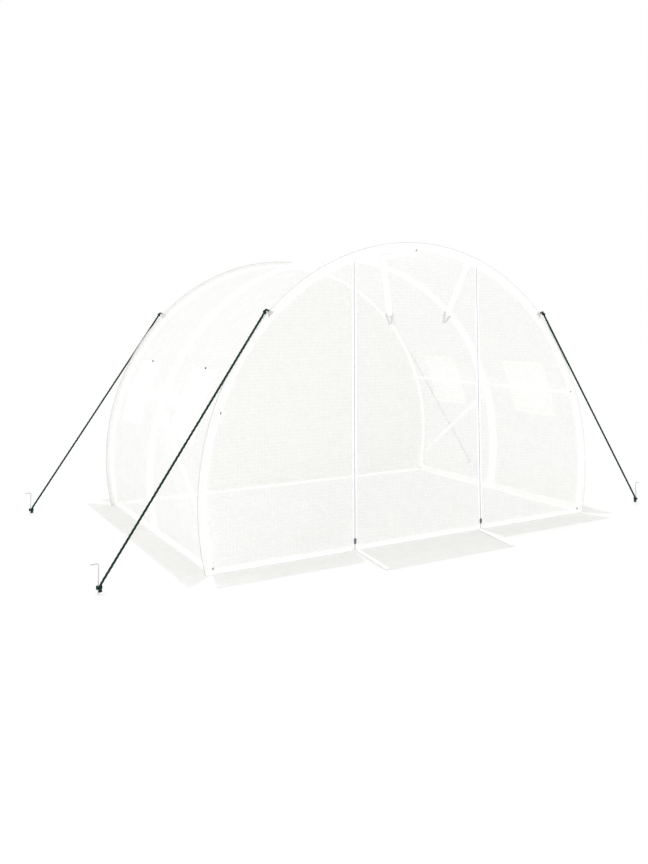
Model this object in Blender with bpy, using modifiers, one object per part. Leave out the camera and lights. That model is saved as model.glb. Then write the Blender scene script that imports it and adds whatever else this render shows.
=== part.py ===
# Walk-in tunnel greenhouse: three tube hoops on a ground frame, a film cover with four
# windows, a zipped door, ground skirts and four guy ropes on pegs.
# Metres, +Z up, +X to the right seen from the door, the door wall towards -Y.
# The origin is on the ground, in the middle of what stands there.

import bpy
import bmesh
import math
from mathutils import Vector

# Ground frame and hoops
HALF_WIDTH = 1.5
HALF_LENGTH = 1.0
HOOP_RISE = 1.953
TUBE_DIAMETER = 0.025
BRACE_DIAMETER = 0.025
BRACE_CLEARANCE = 0.0006
BRACE_FOOT_Z = 0.0035
CLEARANCE = 0.0003
TUBE_SIDES_LEVEL = 3
TUBE_SIDES = 2 * TUBE_SIDES_LEVEL + 4
RIDGE_STRAIGHT = 0.010

# Angles are in degrees above the level of the hoop's centre, on either side
PURLIN_ANGLE = 19.2
WINDOW_HALF_ANGLE = 7.2
WINDOW_BORDER_ANGLE = 1.2
WINDOW_STEPS = 6
LOW_STEPS = 5
HIGH_STEPS = 12
BRACE_TOP_ANGLE = 15.6

# Film, hems and skirts
FILM_THICKNESS = 0.001
SKIRT_THICKNESS = 0.0012
SEAM_FIN = 0.033
BAND_WIDTH = 0.055
SIDE_SKIRT_REACH = 0.195
FRONT_SKIRT_REACH = 0.245
DOOR_SKIRT_REACH = 0.450
BACK_SKIRT_REACH = 0.245
SIDE_SKIRT_FLARE = 0.170
FRONT_SKIRT_FLARE = 0.075
DOOR_SKIRT_FLARE = 0.065
DOOR_SKIRT_TAPER = 0.100
SKIRT_GAP = 0.006

# Windows
WINDOW_FROM_END = 0.45
WINDOW_WIDTH = 0.390
WINDOW_BORDER = 0.030
NET_COLUMNS = 7
NET_STRAND = 0.003

# Door, zips and ties
DOOR_WIDTH = 1.05
DOOR_TOP_DROP = 0.1055
DOOR_TOP_CLEARANCE = 0.0015
ZIP_CUT_BACK = 0.008
TAPE_WIDTH = 0.0160
TAPE_THICKNESS = 0.0012
CHAIN_WIDTH = 0.0025
CHAIN_THICKNESS = 0.0038
CHAIN_GAP = 0.0013
ZIP_LOW_END = 0.003
ZIP_HIGH_END = 0.002
SLIDER_WIDTH = 0.018
SLIDER_HEIGHT = 0.030
SLIDER_PLATE = 0.002
SLIDER_POST = 0.002
SLIDER_REST_Z = 0.060
PULL_LENGTH = 0.028
PULL_WIDTH = 0.008
PULL_LET_IN = 0.0004
PULL_BELOW_TOP = 0.006
TIE_WIDTH = 0.045
TIE_THICKNESS = 0.0015
TIE_TOP_DROP = 0.006
LEFT_TIE_TOP = 0.290
LEFT_TIE_LOW = 0.245
LEFT_TIE_DROP = 0.339
RIGHT_TIE_TOP = 0.430
RIGHT_TIE_LOW = 0.255
RIGHT_TIE_DROP = 0.334
BUCKLE_WIDTH = 0.068
BUCKLE_HEIGHT = 0.072
BUCKLE_BAR = 0.010
BUCKLE_THICKNESS = 0.004
BUCKLE_SHOULDER = 0.92
BUCKLE_APEX = 0.30
BUCKLE_HOLE_SHOULDER = 0.56
BUCKLE_HOLE_APEX = 0.12

# Guy ropes, their tabs and pegs
TAB_ANGLE = 44.0
TAB_BEYOND_SEAM = 0.0227
TAB_BASE_HALF = 0.026
TAB_TIP_HALF = 0.008
TAB_THICKNESS = 0.004
TAB_ROOT = 0.0065
ROPE_DIAMETER = 0.015
ROPE_STEPS = 16
PEG_FROM_FOOT = 0.660
PEG_WIRE = 0.007
PEG_HEIGHT = 0.165
PEG_ARM = 0.045
PEG_BEND = 0.0084
PEG_BEND_CUT = 0.3
PEG_TIP_RADIUS = 0.0012
PEG_TIP_LENGTH = 0.025
ROPE_KNEE_Z = 0.048
ROPE_END_Z = 0.014
ROPE_BEND = 0.020

# Worked out from the sizes above
TUBE_R = TUBE_DIAMETER / 2
HOOP_RADIUS = (HALF_WIDTH ** 2 + HOOP_RISE ** 2) / (2 * HOOP_RISE)
HOOP_CENTRE_Z = TUBE_R + HOOP_RISE - HOOP_RADIUS
COVER_INNER = HOOP_RADIUS + TUBE_R + CLEARANCE
COVER_OUTER = COVER_INNER + FILM_THICKNESS
FIN_RADIUS = COVER_OUTER + SEAM_FIN
TAB_TIP_RADIUS = FIN_RADIUS + TAB_BEYOND_SEAM
WALL_INNER_Y = HALF_LENGTH + TUBE_R + CLEARANCE
WALL_OUTER_Y = WALL_INNER_Y + FILM_THICKNESS
WALL_MID_Y = (WALL_INNER_Y + WALL_OUTER_Y) / 2
ON_WALL_Y = WALL_OUTER_Y + CLEARANCE
HEM_Z = SKIRT_THICKNESS + CLEARANCE
ZIP_X = DOOR_WIDTH / 2
DOOR_TOP = HOOP_CENTRE_Z + HOOP_RADIUS - DOOR_TOP_DROP
WINDOW_Y = HALF_LENGTH - WINDOW_FROM_END
PEG_X = HALF_WIDTH + PEG_FROM_FOOT
BACK_REACH = WALL_INNER_Y + BACK_SKIRT_REACH
FRONT_REACH = WALL_INNER_Y + DOOR_SKIRT_REACH
MIDDLE_Y = (FRONT_REACH - BACK_REACH) / 2


def clear_scene():
    for item in list(bpy.data.objects):
        bpy.data.objects.remove(item, do_unlink=True)


def new_collection(name):
    group = bpy.data.collections.new(name)
    bpy.context.scene.collection.children.link(group)
    return group


clear_scene()
PARTS = new_collection("tunnel_greenhouse")
CUTTERS = new_collection("cutters")
ROOT = bpy.data.objects.new("greenhouse_middle", None)
ROOT.location = (0, MIDDLE_Y, 0)
PARTS.objects.link(ROOT)


def make_material(name, colour, roughness, metallic=0.0, alpha=1.0):
    material = bpy.data.materials.new(name)
    material.use_nodes = True
    shader = material.node_tree.nodes["Principled BSDF"]
    shader.inputs["Base Color"].default_value = (*colour, 1.0)
    shader.inputs["Roughness"].default_value = roughness
    shader.inputs["Metallic"].default_value = metallic
    shader.inputs["Alpha"].default_value = alpha
    return material


MATERIALS = {
    "frame": make_material("white_painted_steel", (0.90, 0.90, 0.89), 0.35),
    "film": make_material("reinforced_film", (0.88, 0.89, 0.86), 0.45, alpha=0.35),
    "skirt": make_material("skirt_film", (0.80, 0.81, 0.78), 0.50),
    "zip": make_material("zip_tape", (0.62, 0.66, 0.72), 0.60),
    "slider": make_material("zip_slider", (0.20, 0.21, 0.22), 0.35, 0.8),
    "webbing": make_material("white_webbing", (0.86, 0.86, 0.84), 0.80),
    "buckle": make_material("grey_buckle", (0.66, 0.67, 0.67), 0.40),
    "net": make_material("window_net", (0.82, 0.83, 0.81), 0.80),
    "tab": make_material("grey_tab", (0.55, 0.58, 0.56), 0.75),
    "rope": make_material("green_rope", (0.02, 0.10, 0.07), 0.70),
    "peg": make_material("steel_peg", (0.62, 0.63, 0.64), 0.35, 0.9),
}


def place(item, material, location=(0, 0, 0), rotation=(0, 0, 0), parent=None):
    item.data.materials.append(MATERIALS[material])
    item.location = location
    item.rotation_euler = rotation
    item.parent = ROOT if parent is None else parent
    PARTS.objects.link(item)
    return item


def empty_at(name, location, parent=None):
    pivot = bpy.data.objects.new(name, None)
    pivot.location = location
    pivot.parent = ROOT if parent is None else parent
    PARTS.objects.link(pivot)
    return pivot


def radial(radius, angle):
    turn = math.radians(angle)
    return Vector((radius * math.cos(turn), 0, HOOP_CENTRE_Z + radius * math.sin(turn)))


def foot_angle(radius, height):
    return math.degrees(math.asin((height - HOOP_CENTRE_Z) / radius))


def spread(start, end, steps):
    return [start + (end - start) * k / steps for k in range(steps)]


def half_angles(lowest):
    # One side from the ground to the ridge, with a corner at each window edge
    low = PURLIN_ANGLE - WINDOW_HALF_ANGLE
    high = PURLIN_ANGLE + WINDOW_HALF_ANGLE
    angles = spread(lowest, low - WINDOW_BORDER_ANGLE, LOW_STEPS)
    angles += [low - WINDOW_BORDER_ANGLE]
    angles += spread(low, high, WINDOW_STEPS)
    angles += [high]
    angles += spread(high + WINDOW_BORDER_ANGLE, 90, HIGH_STEPS)
    return angles + [90]


def full_angles(lowest):
    right = half_angles(lowest)
    return right + [180 - angle for angle in reversed(right[:-1])]


# A tube along points, as a poly curve with filled caps

def tube(name, points, diameter, material, level=TUBE_SIDES_LEVEL, radii=None, location=(0, 0, 0),
         parent=None):
    data = bpy.data.curves.new(name, "CURVE")
    data.dimensions = "3D"
    data.bevel_depth = diameter / 2
    data.bevel_resolution = level
    data.use_fill_caps = True
    spline = data.splines.new("POLY")
    spline.points.add(len(points) - 1)
    for k, point in enumerate(points):
        spline.points[k].co = (*point, 1)
        spline.points[k].radius = 1 if radii is None else radii[k]
    return place(bpy.data.objects.new(name, data), material, location, parent=parent)


# A flat outline, extruded to its thickness along its own normal

def flat(name, outlines, thickness, material, location=(0, 0, 0), upright=False, parent=None):
    data = bpy.data.curves.new(name, "CURVE")
    data.dimensions = "2D"
    data.fill_mode = "BOTH"
    data.extrude = thickness / 2
    for outline in outlines:
        spline = data.splines.new("POLY")
        spline.points.add(len(outline) - 1)
        for k, point in enumerate(outline):
            spline.points[k].co = (point[0], point[1], 0, 1)
        spline.use_cyclic_u = True
    turn = (math.pi / 2, 0, 0) if upright else (0, 0, 0)
    return place(bpy.data.objects.new(name, data), material, location, turn, parent)


# A shell bent along the hoop: an open surface of strips, given its thickness by Solidify

def bent_sheet(name, angles, rows, inner, thickness, material, keep=None, location=(0, 0, 0),
               parent=None):
    mesh = bmesh.new()
    first = [mesh.verts.new(radial(inner, angle) + Vector((0, rows[0], 0))) for angle in angles]
    edges = [mesh.edges.new(pair) for pair in zip(first, first[1:])]
    for start, end in zip(rows, rows[1:]):
        made = bmesh.ops.extrude_edge_only(mesh, edges=edges)["geom"]
        moved = [part for part in made if isinstance(part, bmesh.types.BMVert)]
        bmesh.ops.translate(mesh, verts=moved, vec=(0, end - start, 0))
        edges = [part for part in made if isinstance(part, bmesh.types.BMEdge)]
    if keep is not None:
        gone = []
        for face in mesh.faces:
            middle = face.calc_center_median()
            angle = math.degrees(math.atan2(middle.z - HOOP_CENTRE_Z, middle.x))
            if not keep(angle % 360, middle.y):
                gone.append(face)
        bmesh.ops.delete(mesh, geom=gone, context="FACES")
    for vert in mesh.verts:
        vert.co -= Vector(location)
    for face in mesh.faces:
        face.normal_update()
        outward = face.calc_center_median() + Vector(location) - Vector((0, 0, HOOP_CENTRE_Z))
        outward.y = 0
        if face.normal.dot(outward) < 0:
            face.normal_flip()
    data = bpy.data.meshes.new(name)
    mesh.to_mesh(data)
    mesh.free()
    item = place(bpy.data.objects.new(name, data), material, location, parent=parent)
    wall = item.modifiers.new("film", "SOLIDIFY")
    wall.thickness = thickness
    wall.offset = 1
    wall.use_even_offset = True
    return item


def mirror_x(points, side):
    return [(side * x, *rest) for x, *rest in points]


# Hoops: two bent tubes each, meeting at the ridge

def build_hoops():
    tilt = math.cos(math.radians(foot_angle(HOOP_RADIUS, TUBE_R)))
    foot_z = TUBE_R * math.sqrt(1 - tilt ** 2)
    lowest = foot_angle(HOOP_RADIUS, foot_z + CLEARANCE / 2)
    angles = half_angles(lowest)
    for row, y in (("front", -HALF_LENGTH), ("middle", 0), ("back", HALF_LENGTH)):
        for side, label in ((-1, "left"), (1, "right")):
            points = [radial(HOOP_RADIUS, angle) for angle in angles]
            points[-1].x = RIDGE_STRAIGHT
            points.append(Vector((CLEARANCE / 2, 0, points[-1].z)))
            points = [(side * point.x, 0, point.z) for point in points]
            tube(f"{row}_hoop_{label}", points, TUBE_DIAMETER, "frame", location=(0, y, 0))


# Ground rails butt against the hoops' feet

def build_rails():
    lean = math.radians(foot_angle(HOOP_RADIUS, TUBE_R))
    foot_inner = radial(HOOP_RADIUS, foot_angle(HOOP_RADIUS, 0)).x - TUBE_R / math.cos(lean)
    end = foot_inner - 2 * CLEARANCE
    for row, y in (("front", -HALF_LENGTH), ("back", HALF_LENGTH)):
        tube(f"{row}_rail", [(-end, 0, 0), (end, 0, 0)], TUBE_DIAMETER, "frame",
             location=(0, y, TUBE_R))
    near = TUBE_R + CLEARANCE
    far = HALF_LENGTH - near
    for side, label in ((-1, "left"), (1, "right")):
        for bay, turn in (("front", -1), ("back", 1)):
            tube(f"{label}_rail_{bay}", [(0, turn * near, 0), (0, turn * far, 0)], TUBE_DIAMETER,
                 "frame", location=(side * HALF_WIDTH, 0, TUBE_R))


# Purlins run inside the hoops, braces from the middle hoop down to an end hoop

def build_purlins():
    inside = HOOP_RADIUS - TUBE_DIAMETER - CLEARANCE
    reach = HALF_LENGTH + TUBE_R
    for label, angle in (("ridge", 90), ("left", 180 - PURLIN_ANGLE), ("right", PURLIN_ANGLE)):
        tube(f"{label}_purlin", [(0, -reach, 0), (0, reach, 0)], TUBE_DIAMETER, "frame",
             location=radial(inside, angle))


def build_braces():
    # The brace's flats lie on the flats of the hoops' tubes
    flats = (TUBE_R + BRACE_DIAMETER / 2) * math.cos(math.pi / TUBE_SIDES)
    inside = HOOP_RADIUS - flats - BRACE_CLEARANCE
    lowest = half_angles(foot_angle(HOOP_RADIUS, BRACE_FOOT_Z))[1]
    top = radial(inside, BRACE_TOP_ANGLE)
    low = radial(inside, lowest)
    for side, label, end in ((1, "right", HALF_LENGTH), (-1, "left", -HALF_LENGTH)):
        points = [(side * top.x, 0, top.z), (side * low.x, end, low.z)]
        tube(f"{label}_brace", points, BRACE_DIAMETER, "frame")


# Film cover over the hoops, with four window openings left out of its strips

def in_window(angle, y):
    leaning = min(abs(angle - PURLIN_ANGLE), abs(180 - angle - PURLIN_ANGLE))
    return leaning < WINDOW_HALF_ANGLE and abs(abs(y) - WINDOW_Y) < WINDOW_WIDTH / 2


def build_cover():
    end = WALL_INNER_Y - CLEARANCE
    near = WINDOW_Y - WINDOW_WIDTH / 2
    far = WINDOW_Y + WINDOW_WIDTH / 2
    rows = [-end, -far, -near, near, far, end]
    angles = full_angles(foot_angle(COVER_INNER, HEM_Z + CLEARANCE))
    bent_sheet("roof_cover", angles, rows, COVER_INNER, FILM_THICKNESS, "film",
               keep=lambda angle, y: not in_window(angle, y))
    half = BAND_WIDTH / 2
    bent_sheet("middle_band", angles, [-half, half], COVER_OUTER + CLEARANCE, FILM_THICKNESS,
               "webbing")


# Windows: a net sewn inside the opening and a flap outside, hung at its top edge

def strand_lines(start, end, count, strand):
    pitch = (end - start) / count
    lines = [start]
    for k in range(1, count):
        lines += [start + pitch * k - strand / 2, start + pitch * k + strand / 2]
    return lines + [end]


def build_windows():
    low = PURLIN_ANGLE - WINDOW_HALF_ANGLE
    high = PURLIN_ANGLE + WINDOW_HALF_ANGLE
    strand_angle = math.degrees(NET_STRAND / COVER_INNER)
    net_inner = COVER_INNER - CLEARANCE - FILM_THICKNESS
    flap_inner = COVER_OUTER + CLEARANCE
    for side, label in ((-1, "left"), (1, "right")):
        for bay, y in (("front", -WINDOW_Y), ("back", WINDOW_Y)):
            angles = strand_lines(low, high, WINDOW_STEPS, strand_angle)
            angles = [low - WINDOW_BORDER_ANGLE] + angles + [high + WINDOW_BORDER_ANGLE]
            near = y - WINDOW_WIDTH / 2
            far = y + WINDOW_WIDTH / 2
            lines = strand_lines(near, far, NET_COLUMNS, NET_STRAND)
            lines = [near - WINDOW_BORDER] + lines + [far + WINDOW_BORDER]

            def solid_net(angle, where, angles=angles, lines=lines, side=side):
                leaning = angle if side > 0 else 180 - angle
                row = sum(leaning > limit for limit in angles) - 1
                column = sum(where > limit for limit in lines) - 1
                return row % 2 == 0 or column % 2 == 0

            own = angles if side > 0 else [180 - angle for angle in reversed(angles)]
            bent_sheet(f"{label}_net_{bay}", own, lines, net_inner, FILM_THICKNESS, "net",
                       keep=solid_net)
            flap = [low - WINDOW_BORDER_ANGLE]
            flap += spread(low, high, WINDOW_STEPS) + [high, high + WINDOW_BORDER_ANGLE]
            own = flap if side > 0 else [180 - angle for angle in reversed(flap)]
            hinge = radial(flap_inner + FILM_THICKNESS / 2, flap[-1])
            pivot = empty_at(f"{label}_flap_{bay}_hinge", (side * hinge.x, y, hinge.z))
            sheet = bent_sheet(f"{label}_flap_{bay}", own, [lines[0], lines[-1]], flap_inner,
                               FILM_THICKNESS, "film", location=pivot.location, parent=pivot)
            sheet.location = (0, 0, 0)


# End walls, flat film cut to the hoop, with a seam fin standing outside the cover

def wall_arc(start, end):
    angles = [start]
    angles += [angle for angle in full_angles(foot_angle(FIN_RADIUS, HEM_Z)) if start < angle < end]
    angles += [end]
    return [(radial(FIN_RADIUS, angle).x, radial(FIN_RADIUS, angle).z) for angle in angles]


def build_walls():
    lowest = foot_angle(FIN_RADIUS, HEM_Z)
    edge = ZIP_X + ZIP_CUT_BACK
    edge_angle = math.degrees(math.acos(edge / FIN_RADIUS))
    front = (0, -WALL_MID_Y, 0)
    right = wall_arc(lowest, edge_angle) + [(edge, HEM_Z)]
    left = wall_arc(180 - edge_angle, 180 - lowest) + [(-edge, HEM_Z)]
    flat("front_wall_right", [right], FILM_THICKNESS, "film", front, upright=True)
    flat("front_wall_left", [left], FILM_THICKNESS, "film", front, upright=True)
    inside = edge - CLEARANCE
    inside_angle = math.degrees(math.acos(inside / FIN_RADIUS))
    sill = DOOR_TOP + DOOR_TOP_CLEARANCE
    header = wall_arc(inside_angle, 180 - inside_angle) + [(-inside, sill), (inside, sill)]
    flat("front_header", [header], FILM_THICKNESS, "film", front, upright=True)
    back = wall_arc(lowest, 180 - lowest)
    flat("back_wall", [back], FILM_THICKNESS, "film", (0, WALL_MID_Y, 0), upright=True)


# Ground skirts lie outside the walls, flared at their open corners

def build_skirts():
    mid_z = SKIRT_THICKNESS / 2
    side_x = radial(COVER_INNER, foot_angle(COVER_INNER, HEM_Z)).x
    end = WALL_INNER_Y
    flare = end + SIDE_SKIRT_FLARE
    outer = side_x + SIDE_SKIRT_REACH
    half = [(side_x, -end), (outer, -flare), (outer, flare), (side_x, end)]
    flat("right_skirt", [half], SKIRT_THICKNESS, "skirt", (0, 0, mid_z))
    flat("left_skirt", [mirror_x(half, -1)], SKIRT_THICKNESS, "skirt", (0, 0, mid_z))
    inner = ZIP_X + SKIRT_GAP
    corner = side_x - 2 * SKIRT_GAP
    reach = end + FRONT_SKIRT_REACH
    left = [(-corner, -end), (-inner, -end), (-inner - DOOR_SKIRT_FLARE - SKIRT_GAP, -reach),
            (-corner - FRONT_SKIRT_FLARE, -reach)]
    flat("front_skirt_left", [left], SKIRT_THICKNESS, "skirt", (0, 0, mid_z))
    right = [(inner, -end), (corner, -end), (corner + FRONT_SKIRT_FLARE, -reach), (inner, -reach)]
    flat("front_skirt_right", [right], SKIRT_THICKNESS, "skirt", (0, 0, mid_z))
    reach = end + BACK_SKIRT_REACH
    back = [(-corner, end), (corner, end), (corner + FRONT_SKIRT_FLARE, reach),
            (-corner - FRONT_SKIRT_FLARE, reach)]
    flat("back_skirt", [back], SKIRT_THICKNESS, "skirt", (0, 0, mid_z))


# Door: film between the zips with its own skirt, hung on the line under the header

def build_door():
    pivot = empty_at("door_hinge", (0, -WALL_MID_Y, DOOR_TOP))
    half = ZIP_X - ZIP_CUT_BACK
    panel = [(-half, HEM_Z - DOOR_TOP), (half, HEM_Z - DOOR_TOP), (half, 0), (-half, 0)]
    flat("door_panel", [panel], FILM_THICKNESS, "film", upright=True, parent=pivot)
    near = -WALL_INNER_Y
    far = -FRONT_REACH
    skirt = [(-ZIP_X, near), (ZIP_X, near), (ZIP_X - DOOR_SKIRT_TAPER, far),
             (-ZIP_X - DOOR_SKIRT_FLARE, far)]
    skirt = [(x, y + WALL_MID_Y) for x, y in skirt]
    flat("door_skirt", [skirt], SKIRT_THICKNESS, "skirt",
         (0, 0, SKIRT_THICKNESS / 2 - DOOR_TOP), parent=pivot)
    return pivot


# Zips: a tape with its chain on either side of each gap, and a slider on the door's chain

def tape_outline(turn):
    # Seen from above, from the zip's middle outwards; the chain is thicker than the tape
    near = CHAIN_GAP
    bead = CHAIN_GAP + CHAIN_WIDTH
    end = TAPE_WIDTH
    back = -ON_WALL_Y
    front = back - TAPE_THICKNESS
    middle = (back + front) / 2
    thick = CHAIN_THICKNESS / 2
    outline = [(near, middle - thick), (bead, middle - thick), (bead, front), (end, front),
               (end, back), (bead, back), (bead, middle + thick), (near, middle + thick)]
    return [(turn * x, y) for x, y in outline]


def build_zips(door_pivot):
    low = HEM_Z + ZIP_LOW_END
    high = DOOR_TOP - ZIP_HIGH_END
    middle_y = -ON_WALL_Y - TAPE_THICKNESS / 2
    plate_back = middle_y - CHAIN_THICKNESS / 2 - CLEARANCE
    rear_front = middle_y + CHAIN_THICKNESS / 2 + CLEARANCE
    for side, label in ((-1, "left"), (1, "right")):
        x = side * ZIP_X
        flat(f"{label}_zip_wall_side", [tape_outline(side)], high - low, "zip",
             (x, 0, (low + high) / 2))
        flat(f"{label}_zip_door_side", [[(a, b + WALL_MID_Y) for a, b in tape_outline(-side)]],
             high - low, "zip", (x, 0, (low + high) / 2 - DOOR_TOP), parent=door_pivot)
        half = SLIDER_WIDTH / 2
        post = SLIDER_POST / 2
        inward = -side
        outline = [(-half, plate_back - SLIDER_PLATE), (half, plate_back - SLIDER_PLATE),
                   (half, plate_back), (post, plate_back), (post, rear_front),
                   (half, rear_front), (half, rear_front + SLIDER_PLATE),
                   (-post, rear_front + SLIDER_PLATE), (-post, plate_back), (-half, plate_back)]
        outline = [(inward * a, b + WALL_MID_Y) for a, b in outline]
        body = flat(f"{label}_zip_slider", [outline], SLIDER_HEIGHT, "slider",
                    (x, 0, SLIDER_REST_Z - DOOR_TOP), parent=door_pivot)
        add_pull(body, plate_back - SLIDER_PLATE + WALL_MID_Y)


def add_pull(body, face_y):
    # The pull hangs on the slider's front plate: both become one mesh
    shape = bpy.data.meshes.new_from_object(body)
    slider = bmesh.new()
    slider.from_mesh(shape)
    bmesh.ops.remove_doubles(slider, verts=slider.verts, dist=0.00001)
    slider.to_mesh(shape)
    slider.free()
    name = body.name
    where = body.location.copy()
    parent = body.parent
    old = body.data
    bpy.data.objects.remove(body, do_unlink=True)
    bpy.data.curves.remove(old)
    pull = bmesh.new()
    bmesh.ops.create_cube(pull, size=1)
    bmesh.ops.scale(pull, verts=pull.verts, vec=(PULL_WIDTH, SLIDER_PLATE, PULL_LENGTH))
    drop = SLIDER_HEIGHT / 2 - PULL_LENGTH / 2 - PULL_BELOW_TOP
    middle_y = face_y - SLIDER_PLATE / 2 + PULL_LET_IN
    bmesh.ops.translate(pull, verts=pull.verts, vec=(0, middle_y, drop))
    data = bpy.data.meshes.new(name + "_pull")
    pull.to_mesh(data)
    pull.free()
    cutter = bpy.data.objects.new(name + "_pull", data)
    cutter.hide_render = True
    cutter.display_type = "WIRE"
    cutter.location = where
    cutter.parent = parent
    CUTTERS.objects.link(cutter)
    item = bpy.data.objects.new(name, shape)
    item.data.materials.clear()
    place(item, "slider", where, parent=parent)
    joined = item.modifiers.new("pull", "BOOLEAN")
    joined.operation = "UNION"
    joined.object = cutter


# Door ties: webbing with a buckle, hung beside the door's hinge line

def build_ties():
    back = ON_WALL_Y - WALL_MID_Y
    left = (-LEFT_TIE_TOP, -LEFT_TIE_LOW, LEFT_TIE_DROP)
    right = (RIGHT_TIE_TOP, RIGHT_TIE_LOW, RIGHT_TIE_DROP)
    for label, (top_x, low_x, drop) in (("left", left), ("right", right)):
        pivot = empty_at(f"{label}_tie_hinge", (0, -WALL_MID_Y, DOOR_TOP))
        start = Vector((top_x, -TIE_TOP_DROP))
        end = Vector((low_x, -TIE_TOP_DROP - drop))
        along = (end - start).normalized()
        across = Vector((-along.y, along.x)) * TIE_WIDTH / 2
        strip = [(start.x - TIE_WIDTH / 2, start.y), (end - across)[:], (end + across)[:],
                 (start.x + TIE_WIDTH / 2, start.y)]
        if (end + across).x < (end - across).x:
            strip = [(start.x - TIE_WIDTH / 2, start.y), (end + across)[:], (end - across)[:],
                     (start.x + TIE_WIDTH / 2, start.y)]
        flat(f"{label}_tie", [strip], TIE_THICKNESS, "webbing",
             (0, -back - TIE_THICKNESS / 2, 0), upright=True, parent=pivot)
        build_buckle(label, end + along * CLEARANCE, along, -back - BUCKLE_THICKNESS / 2, pivot)


def build_buckle(label, top, along, y, pivot):
    # A triangular loop: its crossbar takes the webbing, the apex hangs down
    across = Vector((-along.y, along.x))
    half = BUCKLE_WIDTH / 2

    def at(side, depth):
        return (top + across * side + along * depth)[:]

    shoulder = half * BUCKLE_SHOULDER
    apex = half * BUCKLE_APEX
    outer = [at(-half, 0), at(half, 0), at(shoulder, BUCKLE_BAR), at(apex, BUCKLE_HEIGHT),
             at(-apex, BUCKLE_HEIGHT), at(-shoulder, BUCKLE_BAR)]
    shoulder = half * BUCKLE_HOLE_SHOULDER
    apex = half * BUCKLE_HOLE_APEX
    end = BUCKLE_HEIGHT - BUCKLE_BAR
    inner = [at(-shoulder, BUCKLE_BAR), at(shoulder, BUCKLE_BAR), at(apex, end), at(-apex, end)]
    flat(f"{label}_tie_buckle", [outer, inner], BUCKLE_THICKNESS, "buckle", (0, y, 0),
         upright=True, parent=pivot)


# Guy ropes: from a tab on the seam fin straight down to a peg

def rope_direction():
    tip = radial(TAB_TIP_RADIUS, TAB_ANGLE)
    knee = Vector((PEG_X - PEG_WIRE / 2 - ROPE_DIAMETER / 2 - CLEARANCE, 0, ROPE_KNEE_Z))
    return tip, knee, (knee - tip).normalized()


def rope_points():
    # Straight from the tab, round a short bend, then down along the peg
    tip, knee, along = rope_direction()
    start = tip + along * CLEARANCE
    down = Vector((0, 0, -1))
    turn_in = knee - along * ROPE_BEND
    turn_out = knee + down * ROPE_BEND
    points = [start.lerp(turn_in, k / ROPE_STEPS) for k in range(ROPE_STEPS + 1)]
    for k in range(1, 4):
        step = k / 4
        first = turn_in.lerp(knee, step)
        second = knee.lerp(turn_out, step)
        points.append(first.lerp(second, step))
    points.append(turn_out)
    points.append(Vector((knee.x, 0, (turn_out.z + ROPE_END_Z) / 2)))
    points.append(Vector((knee.x, 0, ROPE_END_Z)))
    return points


def tab_outline():
    # A base along the seam and a short tip square to the rope, its inner corner first
    tip, knee, along = rope_direction()
    across = Vector((along.z, 0, -along.x)) * TAB_TIP_HALF
    swing = math.degrees(TAB_BASE_HALF / COVER_OUTER)
    base = COVER_OUTER + TAB_ROOT
    low = radial(base, TAB_ANGLE - swing)
    high = radial(base, TAB_ANGLE + swing)
    corners = [low, tip + across, tip - across, high]
    return [(corner.x, corner.z) for corner in corners]


def build_guys():
    rope_y = ON_WALL_Y + ROPE_DIAMETER / 2
    tab_y = ON_WALL_Y + TAB_THICKNESS / 2
    outline = tab_outline()
    hook_z = PEG_HEIGHT - PEG_WIRE / 2
    cut = PEG_BEND * PEG_BEND_CUT
    peg = [(0, 0, 0), (0, 0, PEG_TIP_LENGTH), (0, 0, hook_z - PEG_BEND)]
    peg += [(cut, 0, hook_z - cut), (PEG_BEND, 0, hook_z), (PEG_ARM, 0, hook_z)]
    thin = PEG_TIP_RADIUS / (PEG_WIRE / 2)
    for side, label in ((-1, "left"), (1, "right")):
        for row, turn in (("front", -1), ("back", 1)):
            y = turn * rope_y
            flat(f"{row}_{label}_tab", [mirror_x(outline, side)], TAB_THICKNESS, "tab",
                 (0, turn * tab_y, 0), upright=True)
            points = [(side * p.x, 0, p.z) for p in rope_points()]
            tube(f"{row}_{label}_rope", points, ROPE_DIAMETER, "rope", level=2,
                 location=(0, y, 0))
            tube(f"{row}_{label}_peg", mirror_x(peg, side), PEG_WIRE, "peg", level=2,
                 radii=[thin] + [1] * (len(peg) - 1), location=(side * PEG_X, y, 0))


build_hoops()
build_rails()
build_purlins()
build_braces()
build_cover()
build_windows()
build_walls()
build_skirts()
build_zips(build_door())
build_ties()
build_guys()
bpy.context.view_layer.update()
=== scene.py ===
# %% [markdown]
# # A walk-in tunnel greenhouse
#
# White steel hoops stand on a ground frame, and a translucent film cover with a woven
# reinforcing grid is pulled over them. The front wall has a door between two zips, the sides
# have netted windows under film flaps, skirts lie on the ground all round, and four dark green
# guy ropes run down to wire pegs. The imported solids already have every size and every joint.
# This file dresses them: each piece is built in metres in the same frame, so nothing is fitted
# by eye, and each one but the door's film and the ties' straps rides on the body that carries it.

# %% Load the imported part
import math
import bpy
import bmesh
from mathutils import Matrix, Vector, noise


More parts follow.
